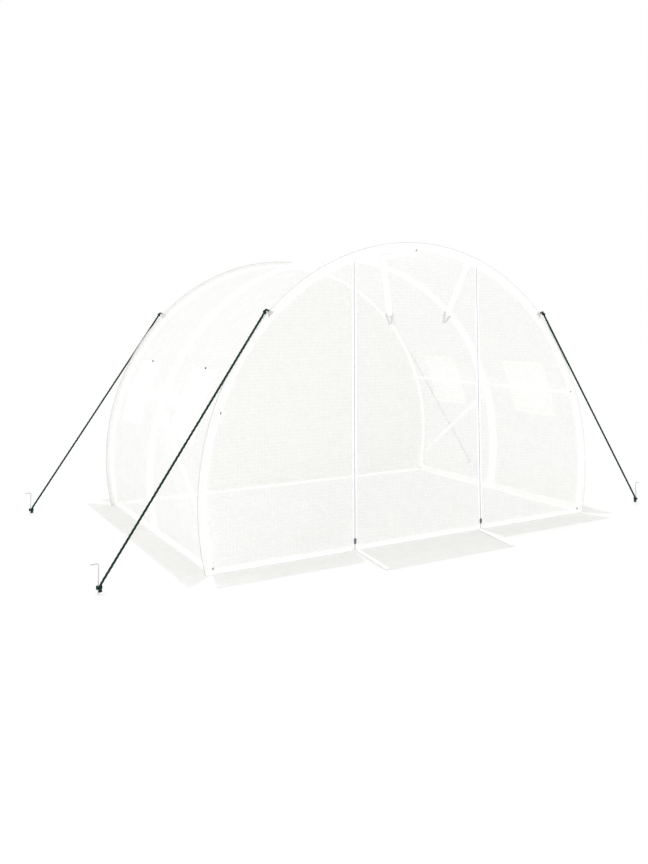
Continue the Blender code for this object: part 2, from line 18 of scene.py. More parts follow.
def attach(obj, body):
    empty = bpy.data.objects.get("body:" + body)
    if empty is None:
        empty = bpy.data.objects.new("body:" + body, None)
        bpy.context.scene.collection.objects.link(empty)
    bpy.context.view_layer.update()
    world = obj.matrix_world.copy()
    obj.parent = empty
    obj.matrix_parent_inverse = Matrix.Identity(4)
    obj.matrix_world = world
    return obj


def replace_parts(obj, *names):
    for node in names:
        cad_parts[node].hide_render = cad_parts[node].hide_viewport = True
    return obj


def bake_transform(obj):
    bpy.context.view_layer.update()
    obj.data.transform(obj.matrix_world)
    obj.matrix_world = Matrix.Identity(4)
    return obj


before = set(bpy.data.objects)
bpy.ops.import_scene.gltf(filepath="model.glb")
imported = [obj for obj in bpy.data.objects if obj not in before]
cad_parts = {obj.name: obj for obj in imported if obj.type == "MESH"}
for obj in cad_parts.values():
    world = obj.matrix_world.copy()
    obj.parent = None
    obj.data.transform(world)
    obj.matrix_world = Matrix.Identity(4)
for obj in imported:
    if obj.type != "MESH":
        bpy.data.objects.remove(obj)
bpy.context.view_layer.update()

# %% [markdown]
# ## Sizes
#
# The solids fix where everything is, so the sizes here repeat the part's own. Everything hangs
# on one circle: the hoops are arcs of it, the cover lies a tube's radius outside it, and the
# seams of the end walls stand a little further out. Lengths along the tunnel are measured from
# its middle, and `MIDDLE_Y` moves them into the part's frame, whose origin is the middle of
# the whole footprint with its uneven skirts. Lengths are in metres and angles in degrees.

# %% Sizes of the frame and the film
TUBE_R = 0.0125
HALF_WIDTH = 1.5
HALF_LENGTH = 1.0
HOOP_RISE = 1.953
FIT = 0.0003
FILM = 0.001
SKIRT = 0.0012
FIN = 0.033
MIDDLE_Y = 0.1025
HOOP_R = (HALF_WIDTH ** 2 + HOOP_RISE ** 2) / (2 * HOOP_RISE)
HOOP_Z = TUBE_R + HOOP_RISE - HOOP_R
COVER_R = HOOP_R + TUBE_R + FIT + FILM / 2
FIN_R = COVER_R + FILM / 2 + FIN
WALL_Y = HALF_LENGTH + TUBE_R + FIT + FILM / 2
ON_WALL_Y = WALL_Y + FILM / 2 + FIT
COVER_END = WALL_Y - FILM
HEM_Z = SKIRT + FIT
DOOR_DROP = 0.1055
DOOR_TOP = HOOP_Z + HOOP_R - DOOR_DROP
ZIP_X = 0.525
ZIP_HALF = 0.008
DOOR_HALF = ZIP_X - ZIP_HALF
WALL_EDGE = ZIP_X + ZIP_HALF
PURLIN_ANGLE = 19.2
WINDOW_SPAN = 7.2
WINDOW_LOW = PURLIN_ANGLE - WINDOW_SPAN
WINDOW_HIGH = PURLIN_ANGLE + WINDOW_SPAN
WINDOW_RIM = 1.2
WINDOW_Y = 0.55
WINDOW_HALF = 0.195
WINDOW_EDGE = 0.030
PEG_X = HALF_WIDTH + 0.66
UP = Vector((0, 0, 1))
SIDES = (("left", -1), ("right", 1))
ENDS = (("front", -1), ("back", 1))
ROWS = (("front", -HALF_LENGTH), ("middle", 0), ("back", HALF_LENGTH))


def at(x, y, z):
    """A point measured from the tunnel's middle, in the part's frame."""
    return Vector((x, y + MIDDLE_Y, z))


def on_arc(radius, angle, y=0.0):
    """A point on a circle about the hoops' centre, at an angle above its level."""
    turn = math.radians(angle)
    return at(radius * math.cos(turn), y, HOOP_Z + radius * math.sin(turn))


def moved(point, side, y=0.0):
    """A point of the right side, or with side -1 its mirror image, moved along the tunnel."""
    return Vector((side * point.x, point.y + y, point.z))


def ground_angle(radius, height):
    """The angle at which a circle is at a height above the ground."""
    return math.degrees(math.asin((height - HOOP_Z) / radius))


def spread(start, end, count):
    """count + 1 even steps from start to end."""
    return [start + (end - start) * k / count for k in range(count + 1)]


def smooth(value, low, high):
    """0 below low, 1 above high, and a soft step between."""
    t = min(max((value - low) / (high - low), 0.0), 1.0)
    return t * t * (3 - 2 * t)


print(f"hoops: radius {HOOP_R:.4f} m about z {HOOP_Z:.4f} m; door hinge at z {DOOR_TOP:.3f} m")

# %% [markdown]
# ## Writing materials as sums
#
# A procedural material is a small calculation: where am I on the cloth, how far is the next
# thread, how dense is the film there. Built node by node that is hard to read, so one class
# wraps a socket and overloads Python's operators. `1 - mask * 0.3` then adds its Math nodes by
# itself, and any other node comes from the one method `node`.


class Wire:
    """A socket of a material's nodes, used like a number."""

    def __init__(self, tree, socket=None):
        self.tree = tree
        self.socket = socket

    def feed(self, node, values):
        """Gives a node's inputs their wires, numbers or colours."""
        for name, value in values.items():
            if isinstance(value, Wire):
                self.tree.links.new(value.socket, node.inputs[name])
            else:
                node.inputs[name].default_value = value

    def node(self, kind, inputs=None, out=0, **settings):
        made = self.tree.nodes.new("ShaderNode" + kind)
        for name, value in settings.items():
            setattr(made, name, value)
        self.feed(made, inputs or {})
        return Wire(self.tree, made.outputs[out])

    def sum(self, operation, *values):
        return self.node("Math", dict(enumerate(values)), operation=operation)

    def __add__(self, other):
        return self.sum("ADD", self, other)

    def __radd__(self, other):
        return self.sum("ADD", other, self)

    def __sub__(self, other):
        return self.sum("SUBTRACT", self, other)

    def __rsub__(self, other):
        return self.sum("SUBTRACT", other, self)

    def __mul__(self, other):
        return self.sum("MULTIPLY", self, other)

    def __truediv__(self, other):
        return self.sum("DIVIDE", self, other)

    def __abs__(self):
        return self.sum("ABSOLUTE", self)

    def fraction(self):
        return self.sum("FRACT", self)

    def wave(self):
        return self.sum("SINE", self)

    def clamped(self):
        return self.node("Clamp", {0: self})

    def between(self, first, second):
        """A colour from first, at 0, to second, at 1."""
        ends = {6: (*first, 1), 7: (*second, 1)}
        return self.node("Mix", {0: self, **ends}, 2, data_type="RGBA")

    def part(self, which):
        return self.node("SeparateXYZ", {0: self}, which)

    def noise(self, size, detail):
        """Soft patches about size metres across, from 0 to 1."""
        return self.node("TexNoise", {"Vector": self, "Scale": 1 / size, "Detail": detail})

    def stripes(self, pitch, width, soft):
        """1 on lines width wide, pitch apart, 0 between them, for a length in metres."""
        away = abs((self / pitch).fraction() - 0.5) * pitch
        return ((width / 2 - away) / soft + 0.5).clamped()

    def grid(self, pitch, width, soft):
        """Such lines both along and across a cloth."""
        return self.sum("MAXIMUM", *(self.part(k).stripes(pitch, width, soft) for k in (0, 1)))

    def bump(self, height, strength):
        return self.node("Bump", {"Height": self, "Distance": height, "Strength": strength})


def new_material(name):
    """A material, its wire and its Principled shader."""
    material = bpy.data.materials.new(name)
    material.use_nodes = True
    tree = material.node_tree
    return material, Wire(tree), tree.nodes["Principled BSDF"]


print("materials can be written as sums")

# %% [markdown]
# ## The film
#
# The cover is thin film with a grid of flat threads laid in it. It is a little denser than the
# walls. The back wall is the densest, so the ropes behind the tent hardly show through it, while
# the tubes inside stay clear through the front; it and the skirts are also darker copies of the
# same film, which paints shade onto them. Light does three things in film:
# a part comes straight through, so the tubes inside can be seen, a part is scattered forwards,
# which is why the inside glows, and the rest is scattered back. A Transparent shader does the
# first, a Translucent one the second and a Principled one the third. The threads are where
# less comes straight through, so the grid only changes the mix. The cloth's own coordinates,
# in metres, are kept on each sheet as a UV map, and the threads follow every fold.

# %% Film, hem and skirt
WHITE = (1, 1, 1, 1)
FILM_WHITE = (0.980, 0.978, 0.960)
BAND_WHITE = (0.98, 0.98, 0.975)
THREAD_WHITE = (0.945, 0.943, 0.925)


def film_material(name, body, threads, patchy, tint=FILM_WHITE, forward=0.5, painted_glow=0.0):
    """Film that lets 1 - body of the light straight through, and less where threads run.

    With a body of 1 nothing comes straight through, which suits hems of several layers.
    """
    material, paint, shader = new_material(name)
    cloth = paint.node("UVMap", uv_map="cloth")
    grid = cloth.grid(pitch=0.0225, width=0.0050, soft=0.002)
    fine = cloth.grid(pitch=0.0032, width=0.0012, soft=0.0006)
    clouds = cloth.noise(0.11, 3.0)
    grain = cloth.noise(0.013, 2.0)
    shade = (grid * 0.7 + grain * 0.5 - 0.2).clamped().between(tint, THREAD_WHITE)
    height = grid * 0.5 + fine * 0.08 + grain * 0.5
    # painted_glow feeds the film's own colour into Emission: a painted glow that no lamp gives.
    paint.feed(shader, {"Base Color": shade, "Emission Color": shade, "Emission Strength": painted_glow,
                        "Roughness": 0.42 + grain * 0.16, "Normal": height.bump(0.0012, 0.6),
                        "IOR": 1.48})
    passed = paint.node("BsdfTranslucent", {0: (*tint, 1)})
    surface = paint.node("MixShader", {0: forward, 1: Wire(paint.tree, shader.outputs[0]),
                                       2: passed})
    if body < 1:
        density = body + grid * (0.3 + grain) * threads + (clouds - 0.5 + grain - 0.5) * patchy
        clear = paint.node("BsdfTransparent", {0: WHITE})
        surface = paint.node("MixShader", {0: density.clamped(), 1: clear, 2: surface})
    paint.feed(paint.tree.nodes["Material Output"], {"Surface": surface})
    return material


COVER_FILM = film_material("cover_film", 0.70, 0.055, 0.12, (0.985, 0.985, 0.981))
WALL_FILM = film_material("wall_film", 0.58, 0.055, 0.12)
# The back wall is a denser, darker copy of the wall film: painted shade, darkening what is seen
# through the front wall.
SHADED_BACK_FILM = film_material("back_wall_film_painted_shade", 0.80, 0.055, 0.12, (0.955, 0.953, 0.935))
# The doubled hem, the window flaps and the band glow a little by emission: painted light that makes
# them whiter than the light on them would.
DOUBLE_FILM_PAINTED_GLOW = film_material("doubled_film_painted_glow", 1.0, 0.05, 0.08, (0.97, 0.968, 0.96), 0.4, 0.05)
FLAP_FILM_PAINTED_GLOW = film_material("flap_film_painted_glow", 0.30, 0.03, 0.04, BAND_WHITE, 0.60, 0.16)
BAND_CLOTH_PAINTED_GLOW = film_material("band_cloth_painted_glow", 1.0, 0.03, 0.03, BAND_WHITE, 0.60, 0.45)
# The skirts are a denser, slightly darker copy of the film: painted shade of film lying on the
# ground.
SHADED_SKIRT_FILM = film_material("skirt_film", 0.80, 0.04, 0.12, (0.968, 0.966, 0.948), 0.45)

# %% [markdown]
# ## Webbing, net, paint and metal
#
# The straps and tapes are woven, so their height is a product of two waves at the thread's
# pitch. The tubes are powder coated: almost white, with a faint orange peel, and the pegs are
# drawn wire with fine scratches along it.

# %% The other finishes
def woven_material(name, light, dark, pitch, depth, painted_glow=0.0):
    """Cloth of crossed threads, pitch apart."""
    material, paint, shader = new_material(name)
    cloth = paint.node("UVMap", uv_map="cloth")
    turn = 2 * math.pi / pitch
    over = ((cloth.part(0) * turn).wave() * (cloth.part(1) * turn).wave()) * 0.5 + 0.5
    shade = (over * 0.55 + cloth.noise(0.05, 3.0) * 0.45).between(dark, light)
    # painted_glow feeds the cloth's own colour into Emission: a painted glow, not lamp light.
    paint.feed(shader, {"Base Color": shade, "Emission Color": shade, "Emission Strength": painted_glow,
                        "Roughness": 0.72 + over * 0.16, "Normal": over.bump(depth, 0.7),
                        "Sheen Weight": 0.08})
    return material


def solid_material(name, light, dark, rough, metal=0.0, patch=0.03, grain=0.0008,
                   depth=0.0001, stretch=(1, 1, 1), painted_glow=0.0):
    """Paint, plastic or metal: soft patches of tone over a fine grain."""
    material, paint, shader = new_material(name)
    place = paint.node("VectorMath", {0: paint.node("TexCoord", out=3), 1: stretch},
                       operation="MULTIPLY")
    patches = place.noise(patch, 4.0)
    shade = patches.between(dark, light)
    # painted_glow feeds the finish's own colour into Emission: a painted glow, not lamp light.
    paint.feed(shader, {"Base Color": shade, "Emission Color": shade, "Emission Strength": painted_glow,
                        "Roughness": rough + (patches - 0.5) * 0.18, "Metallic": metal,
                        "Normal": place.noise(grain, 1.0).bump(depth, 0.35)})
    return material


# The tubes' paint glows by emission (0.28): painted light, so the white tubes read lighter than the
# film around them.
WHITE_PAINT_PAINTED_GLOW = solid_material("white_powder_coat_painted_glow", (0.97, 0.97, 0.97),
                             (0.94, 0.94, 0.935), 0.36, patch=0.12, grain=0.0025, depth=0.00006,
                             painted_glow=0.28)
# Webbing, zip tape and window net glow by emission: painted light that makes them whiter than the
# light on them would.
WEBBING_PAINTED_GLOW = woven_material("white_webbing", (0.95, 0.95, 0.945),
                         (0.90, 0.90, 0.895), 0.0030, 0.0004, 0.18)
ZIP_TAPE_PAINTED_GLOW = woven_material("zip_tape", (0.95, 0.955, 0.965), (0.89, 0.90, 0.92),
                          0.0016, 0.0002, 0.12)
TAB_CLOTH = woven_material("tab_webbing", (0.76, 0.74, 0.745),
                           (0.46, 0.44, 0.445), 0.0080, 0.0008)
NET_CLOTH_PAINTED_GLOW = woven_material("window_net", (0.93, 0.935, 0.92), (0.90, 0.905, 0.89),
                           0.0016, 0.0002, 0.28)
CHAIN = solid_material("zip_chain", (0.64, 0.645, 0.66), (0.46, 0.465, 0.48), 0.45)
DARK_CAP = solid_material("dark_caps", (0.10, 0.10, 0.11), (0.04, 0.04, 0.045), 0.48)
# The fin's rolled edge is a grey piping; its grey paints the shade along the fin's outer edge.
PIPING_PAINTED_SHADE = solid_material("seam_piping_painted_shade", (0.72, 0.72, 0.71), (0.58, 0.58, 0.57), 0.5)
ENAMEL = solid_material("zip_slider_enamel", (0.26, 0.27, 0.29),
                        (0.15, 0.16, 0.17), 0.34, 0.7)
GREY_PLASTIC = solid_material("grey_buckle", (0.70, 0.71, 0.71), (0.58, 0.59, 0.59),
                              0.38)
WIRE = solid_material("drawn_wire", (0.72, 0.73, 0.74), (0.52, 0.53, 0.54), 0.30,
                      0.95, patch=0.02, grain=0.0006, depth=0.00008, stretch=(1, 1, 0.06))
EYELET = solid_material("eyelet_metal", (0.66, 0.66, 0.65), (0.50, 0.50, 0.49),
                        0.30, 0.95)

# %% [markdown]
# ## Making meshes
#
# Four small helpers build nearly everything. `cloth_sheet` lays a grid of points wherever a
# function says and remembers the flat size of the cloth as a UV map. `rod` sweeps a ring of
# points along a line, with a radius that may change on the way, for tubes, wires and ropes.
# `turned` spins a short profile for bolts and eyelets, and `strip` is a tape with a thickness.
# The last three all make rings of points, over which `skin` lays the faces.

# %% Mesh helpers
ROUND = 0.05


def new_object(name, data):
    item = bpy.data.objects.new(name, data)
    bpy.context.scene.collection.objects.link(item)
    return item


def finish_piece(name, mesh, material, body="tent", smooth_faces=True):
    """Turns a bmesh into an object that rides on a body and wears a material."""
    data = bpy.data.meshes.new(name)
    mesh.to_mesh(data)
    mesh.free()
    for face in data.polygons:
        face.use_smooth = smooth_faces
    data.materials.append(material)
    item = new_object(name, data)
    if body is not None:
        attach(item, body)
    return item


def round_edges(item, width, segments):
    soft = item.modifiers.new("edges", "BEVEL")
    soft.width = width
    soft.segments = segments
    soft.limit_method = "ANGLE"


def dress_solid(node, material, width, segments):
    """Gives a solid, which stays as it is, a material and rounded edges."""
    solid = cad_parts[node]
    solid.data.materials.clear()
    solid.data.materials.append(material)
    round_edges(solid, width, segments)


def lay_grid(mesh, layer, spots, kept=None):
    """Faces over a grid of (vertex, flat) spots; kept(i, j) tells which of its cells stay."""
    for i in range(len(spots) - 1):
        for j in range(len(spots[0]) - 1):
            if kept is None or kept(i, j):
                corners = (spots[i][j], spots[i + 1][j], spots[i + 1][j + 1], spots[i][j + 1])
                face = mesh.faces.new([vert for vert, flat in corners])
                for loop, (vert, flat) in zip(face.loops, corners):
                    loop[layer].uv = flat


def cloth_sheet(name, columns, rows, place, material, body="tent", keep=None):
    """A sheet over a grid; place(column, row) gives its point and its flat (u, v) in metres,
    and keep(column, row), asked for the middle of each cell, leaves openings."""
    def kept(i, j):
        return keep((columns[i] + columns[i + 1]) / 2, (rows[j] + rows[j + 1]) / 2)

    mesh = bmesh.new()
    layer = mesh.loops.layers.uv.new("cloth")
    made = [[place(column, row) for row in rows] for column in columns]
    spots = [[(mesh.verts.new(point), flat) for point, flat in line] for line in made]
    lay_grid(mesh, layer, spots, keep and kept)
    bmesh.ops.delete(mesh, geom=[v for v in mesh.verts if not v.link_faces], context="VERTS")
    bmesh.ops.remove_doubles(mesh, verts=mesh.verts, dist=0.00002)
    bmesh.ops.dissolve_degenerate(mesh, edges=mesh.edges, dist=0.00001)
    return finish_piece(name, mesh, material, body)


def lengths_along(line):
    """How far along a line each of its points is."""
    run = [0.0]
    for first, second in zip(line, line[1:]):
        run.append(run[-1] + (second - first).length)
    return run


def headings(line):
    """The direction of a line at each of its points."""
    last = len(line) - 1
    return [(line[min(k + 1, last)] - line[max(k - 1, 0)]).normalized() for k in range(last + 1)]


def square_to(line):
    """Two directions square to a line at each of its points, without twist."""
    pairs = []
    side = headings(line)[0].orthogonal().normalized()
    for ahead in headings(line):
        side = (side - ahead * side.dot(ahead)).normalized()
        pairs.append((side, ahead.cross(side)))
    return pairs


def eased(points, steps, rounds):
    """A line through some points in small steps, with its corners smoothed."""
    line = [first.lerp(second, k / steps) for first, second in zip(points, points[1:])
            for k in range(steps)] + [points[-1]]
    for _ in range(rounds):
        line[1:-1] = [(a + b * 2 + c) / 4 for a, b, c in zip(line, line[1:], line[2:])]
    return line


def each(value, line):
    """A list with one value for each point of a line."""
    return value if isinstance(value, list) else [value] * len(line)


def ring_of(mesh, middle, side, up, radii):
    """Points round a middle, one at each of the radii."""
    turns = spread(0, 2 * math.pi, len(radii))
    return [mesh.verts.new(middle + side * r * math.cos(turn) + up * r * math.sin(turn))
            for r, turn in zip(radii, turns)]


def skin(mesh, rings, flat=None, ends=True):
    """Faces between rings of points and over the ends. flat(k, far, step) is the (u, v) of a
    point of the faces from ring k to the next, on that next one if far is 1."""
    layer = mesh.loops.layers.uv.new("cloth") if flat else None
    for k, (first, second) in enumerate(zip(rings, rings[1:])):
        for s in range(len(first)):
            t = (s + 1) % len(first)
            face = mesh.faces.new((first[s], first[t], second[t], second[s]))
            if flat:
                corners = ((0, s), (0, s + 1), (1, s + 1), (1, s))
                for loop, (far, step) in zip(face.loops, corners):
                    loop[layer].uv = flat(k, far, step)
    if ends:
        mesh.faces.new(list(reversed(rings[0])))
        mesh.faces.new(rings[-1])


def rod(name, line, radius, material, sides=20, dip=None):
    """A tube along a line. radius is a number or a list; dip(turn, way) is taken off it."""
    mesh = bmesh.new()
    run = lengths_along(line)
    turns = spread(0, 2 * math.pi, sides)[:-1]
    rings = []
    for point, own, way, (side, up) in zip(line, each(radius, line), run, square_to(line)):
        radii = [own - dip(turn, way) if dip else own for turn in turns]
        rings.append(ring_of(mesh, point, side, up, radii))
    skin(mesh, rings, lambda k, far, s: (s / sides * ROUND, run[k + far]))
    return finish_piece(name, mesh, material)


def turned(name, profile, place, axis, material, steps, side=None, closed=False):
    """A small round part: profile is (radius, height) pairs, spun about axis at place."""
    side = side or axis.orthogonal().normalized()
    mesh = bmesh.new()
    rings = [ring_of(mesh, place + axis * height, side, axis.cross(side), [radius] * steps)
             for radius, height in profile]
    skin(mesh, rings + rings[:1] if closed else rings, ends=not closed)
    bmesh.ops.remove_doubles(mesh, verts=mesh.verts, dist=0.00001)
    bmesh.ops.recalc_face_normals(mesh, faces=mesh.faces)
    return finish_piece(name, mesh, material)


def strip(name, line, across, thickness, lift, material, body="tent"):
    """A flat tape with a real thickness: line is its middle, across its half width as a
    vector, lift the direction of its thickness. The last two may be lists."""
    mesh = bmesh.new()
    across = each(across, line)
    rings = []
    for point, half, up in zip(line, across, each(lift, line)):
        up = up * thickness / 2
        corners = (point - half - up, point + half - up, point + half + up, point - half + up)
        rings.append([mesh.verts.new(corner) for corner in corners])
    run, edges = lengths_along(line), (-1, 1, 1, -1)
    skin(mesh, rings, lambda k, far, s: (edges[s % 4] * across[k].length, run[k + far]))
    item = finish_piece(name, mesh, material, body, smooth_faces=False)
    round_edges(item, min(thickness * 0.3, 0.0004), 1)
    return item


def block(mesh, corners, *places):
    """A small block: its corners as (x, z) pairs, and its two places along the tunnel."""
    skin(mesh, [[mesh.verts.new(at(x, y, z)) for x, z in corners] for y in places])


print("helpers: cloth_sheet, rod, turned, strip")

# %% [markdown]
# ## The tube frame
#
# Each hoop is two bent halves that meet at the ridge. The solids use ten-sided tubes, which is
# enough for collision and size; here the same lines carry round tubes. Real tubes of this kind
# come in sections that plug into each other, so a half hoop has two joints, drawn as a shallow
# groove where one section's end stops.

# %% Hoops, rails and purlins
JOINT_ANGLES = (42.0, 4.0)
PURLINS = (("ridge", 90), ("left", 180 - PURLIN_ANGLE), ("right", PURLIN_ANGLE))
GROOVE = 0.0009
TUBE_BEVEL = 0.0012


def frame_tube(node, points, joints=()):
    """A tube with deburred ends and a groove at each joint, a distance along its line."""
    ahead, back = headings(points)[0], -headings(points)[-1]
    line = [points[0], points[0] + ahead * TUBE_BEVEL]
    radii = [TUBE_R - TUBE_BEVEL, TUBE_R]
    travelled = 0.0
    for first, second in zip(points, points[1:]):
        step = (second - first).length
        for joint in joints:
            if travelled < joint < travelled + step:
                for off, sink in ((-0.0022, 0), (-0.0016, GROOVE), (0.0, GROOVE), (0.0004, 0)):
                    line.append(first.lerp(second, (joint - travelled + off) / step))
                    radii.append(TUBE_R - sink)
        travelled += step
        line.append(second)
        radii.append(TUBE_R)
    line[-1:] = [points[-1] + back * TUBE_BEVEL, points[-1]]
    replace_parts(rod(node + "_tube", line, radii + [TUBE_R - TUBE_BEVEL], WHITE_PAINT_PAINTED_GLOW), node)


lean = math.radians(ground_angle(HOOP_R, TUBE_R))
lowest = ground_angle(HOOP_R, TUBE_R * abs(math.sin(lean)) + FIT / 2)
arc = [on_arc(HOOP_R, angle) for angle in spread(lowest, 89.6, 72)]
arc.append(at(FIT / 2, 0, arc[-1].z))
arc_joints = [HOOP_R * math.radians(angle - lowest) for angle in JOINT_ANGLES]
for row, y in ROWS:
    for label, side in SIDES:
        frame_tube(f"{row}_hoop_{label}", [moved(point, side, y) for point in arc], arc_joints)

rail_end = on_arc(HOOP_R, ground_angle(HOOP_R, 0)).x - TUBE_R / math.cos(lean) - 2 * FIT
for row, turn in ENDS:
    ends = [at(x, turn * HALF_LENGTH, TUBE_R) for x in (-rail_end, rail_end)]
    frame_tube(row + "_rail", ends, (rail_end * 2 / 3, rail_end * 4 / 3))
for label, side in SIDES:
    for bay, turn in ENDS:
        frame_tube(f"{label}_rail_{bay}", [at(side * HALF_WIDTH, turn * y, TUBE_R) for y in
                                           (TUBE_R + FIT, HALF_LENGTH - TUBE_R - FIT)])

inside = HOOP_R - 2 * TUBE_R - FIT
reach = HALF_LENGTH + TUBE_R
for label, angle in PURLINS:
    frame_tube(label + "_purlin", [on_arc(inside, angle, y) for y in (-reach, reach)],
               (reach - 0.03,))

# %% [markdown]
# The two braces lean from the middle hoop down to an end hoop and lie against the inside of
# both. Bolts with dark caps hold the purlins to the hoops; in the photograph they are the only
# dark marks on the frame, so their places matter more than their size.

# %% Braces and bolts
BRACE_R = HOOP_R - 0.0244
BRACE_ANGLES = (15.6, -10.07)
RIDGE_BOLT = 90.35
CAP_PROFILE = ((0.0001, 0.0), (0.0082, 0.0), (0.0082, 0.0011), (0.0060, 0.0012),
               (0.0052, 0.0030), (0.0030, 0.0044), (0.0001, 0.0048))

high, low = [on_arc(BRACE_R, angle) for angle in BRACE_ANGLES]
for label, side in SIDES:
    frame_tube(label + "_brace", [moved(high, side), moved(low, side, side * HALF_LENGTH)])


def bolt(name, angle, y):
    """A capped bolt on a hoop, on the flank that faces the front and inwards."""
    turn = math.radians(angle)
    out = Vector((-0.72 * math.cos(turn), -0.69, -0.72 * math.sin(turn))).normalized()
    place = on_arc(HOOP_R, angle, y) + out * (TUBE_R - FIT)
    turned(name + "_bolt", CAP_PROFILE, place, out, DARK_CAP, 16)


for row, y in ROWS:
    for label, angle in PURLINS:
        bolt(f"{row}_{label}", RIDGE_BOLT if label == "ridge" else angle, y)
foot = ground_angle(HOOP_R, 0.030)
for row, turn in ENDS:
    for label, side in SIDES:
        bolt(f"{row}_{label}_foot", foot if side > 0 else 180 - foot, turn * HALF_LENGTH)

# %% [markdown]
# ## The cover
#
# Film under tension over three hoops is not quite a cylinder: between two hoops it is drawn in
# a few millimetres, and near a hoop it wrinkles along the pull. A simulation would find that
# shape again at every run, so one function of angle and length gives it instead, and the band,
# the nets and the flaps all use the same function and stay seated on the cover.

# %% The cover and the band over its middle
SAG = 0.005
LAYER = 0.0013
BAND_HALF = 0.0275
LINING_HALF = 0.050
LINING_GAP = 0.0128


def ripple(x, y, seed, size):
    return noise.noise(Vector((x / size, y / size, seed)))


def cover_at(angle, y, lift=0.0):
    """A point of the cover and its flat place: metres round the arc, and along the tunnel."""
    draw = math.sin(math.pi * min(abs(y) / HALF_LENGTH, 1.0)) ** 2
    along = math.radians(angle) * COVER_R
    calm = smooth(min(angle, 180 - angle), -14, 2)
    crease = ripple(along * 0.35, y * 2.4, 3.1, 0.16) * 0.0022
    crease += ripple(along * 1.4, y * 0.5, 8.7, 0.09) * 0.0012
    radius = COVER_R + lift + draw * (crease - SAG) * calm
    return on_arc(radius, angle, y), (along, y)


def with_edges(values, edges):
    """A list of steps with some exact places put in, and close neighbours left out."""
    kept = [v for v in values if all(abs(v - edge) > 0.35 * (values[1] - values[0])
                                     for edge in edges)]
    return sorted(kept + list(edges))


def in_window(angle, y):
    lean = min(angle, 180 - angle)
    return WINDOW_LOW < lean < WINDOW_HIGH and abs(abs(y) - WINDOW_Y) < WINDOW_HALF


cover_foot = ground_angle(COVER_R - FILM / 2, HEM_Z + FIT)
cover_steps = spread(cover_foot, 180 - cover_foot, 150)
edge_angles = [WINDOW_LOW, WINDOW_HIGH, 180 - WINDOW_HIGH, 180 - WINDOW_LOW]
edge_rows = [s * (WINDOW_Y + t * WINDOW_HALF) for s in (-1, 1) for t in (-1, 1)]
cover = cloth_sheet("cover_film", with_edges(cover_steps, edge_angles),
                    with_edges(spread(-COVER_END, COVER_END, 64), edge_rows), cover_at,
                    COVER_FILM, keep=lambda angle, y: not in_window(angle, y))
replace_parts(cover, "roof_cover")
cover_width = math.radians(180 - 2 * cover_foot) * COVER_R

band = cloth_sheet("middle_band_webbing", cover_steps, spread(-BAND_HALF, BAND_HALF, 6),
                   lambda angle, y: cover_at(angle, y, LAYER), BAND_CLOTH_PAINTED_GLOW)
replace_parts(band, "middle_band")
lining_rows = [side * y for side in (-1, 1) for y in (LINING_HALF, 0.031, LINING_GAP)]
lining = cloth_sheet("middle_band_lining", cover_steps, sorted(lining_rows),
                     lambda angle, y: cover_at(angle, y, -LAYER), BAND_CLOTH_PAINTED_GLOW,
                     keep=lambda angle, y: abs(y) > LINING_GAP)
2 * (LINING_HALF - LINING_GAP) * cover_width
print(f"cover: {cover_width:.2f} m round, {2 * WALL_Y:.2f} m long, {len(cover.data.polygons)} faces")

# %% [markdown]
# ## The windows
#
# Each window is an opening in the cover with a net sewn inside it and a film flap outside,
# which hangs from a seam along its top edge and rolls up behind a toggle. The net is real
# strands: one sheet with its holes left out, so that light and air go through it. A white tape
# frames the opening. Net and tape stay with the cover, and the flap rides on its own body.

# %% Nets, flaps, tapes and toggles
NET_PITCH = 0.0065
NET_STRAND = 0.0014
TAPE_HALF = 0.012
TAPE_CELLS = 34
FLAP_HEM = 0.018
TAPE_LIFT, HEM_LIFT, SEAM_LIFT, TOGGLE_LIFT = -0.0020, 0.0019, 0.0026, 0.006
SEAM_LOW, SEAM_HIGH = -0.1, 0.75
TOGGLE_ANGLE = 0.9
LOOP_WIDTH, LOOP_LENGTH = 0.011, 0.0413
RISE = math.degrees(1 / COVER_R)
TOGGLE_PROFILE = ((0.0001, -0.0045), (0.0042, -0.0045), (0.0066, -0.0022), (0.0070, 0.0006),
                  (0.0058, 0.0032), (0.0030, 0.0046), (0.0001, 0.0048))


def strand_steps(start, end, pitch, strand):
    """The edges of a net's strands along one side of its opening."""
    count = round((end - start) / pitch)
    middles = spread(start, end, count)[1:-1]
    return [start] + [m + s * strand / 2 for m in middles for s in (-1, 1)] + [end]


def between_strands(steps, value):
    """True in the gap between two strands of a net's steps."""
    place = sum(value > step for step in steps)
    return 0 < place < len(steps) and place % 2 == 1


net_angles = strand_steps(WINDOW_LOW, WINDOW_HIGH, NET_PITCH * RISE, NET_STRAND * RISE)
rim_low, rim_high = WINDOW_LOW - WINDOW_RIM, WINDOW_HIGH + WINDOW_RIM
flap_size = (2 * (WINDOW_HALF + WINDOW_EDGE), math.radians(rim_high - rim_low) * COVER_R)


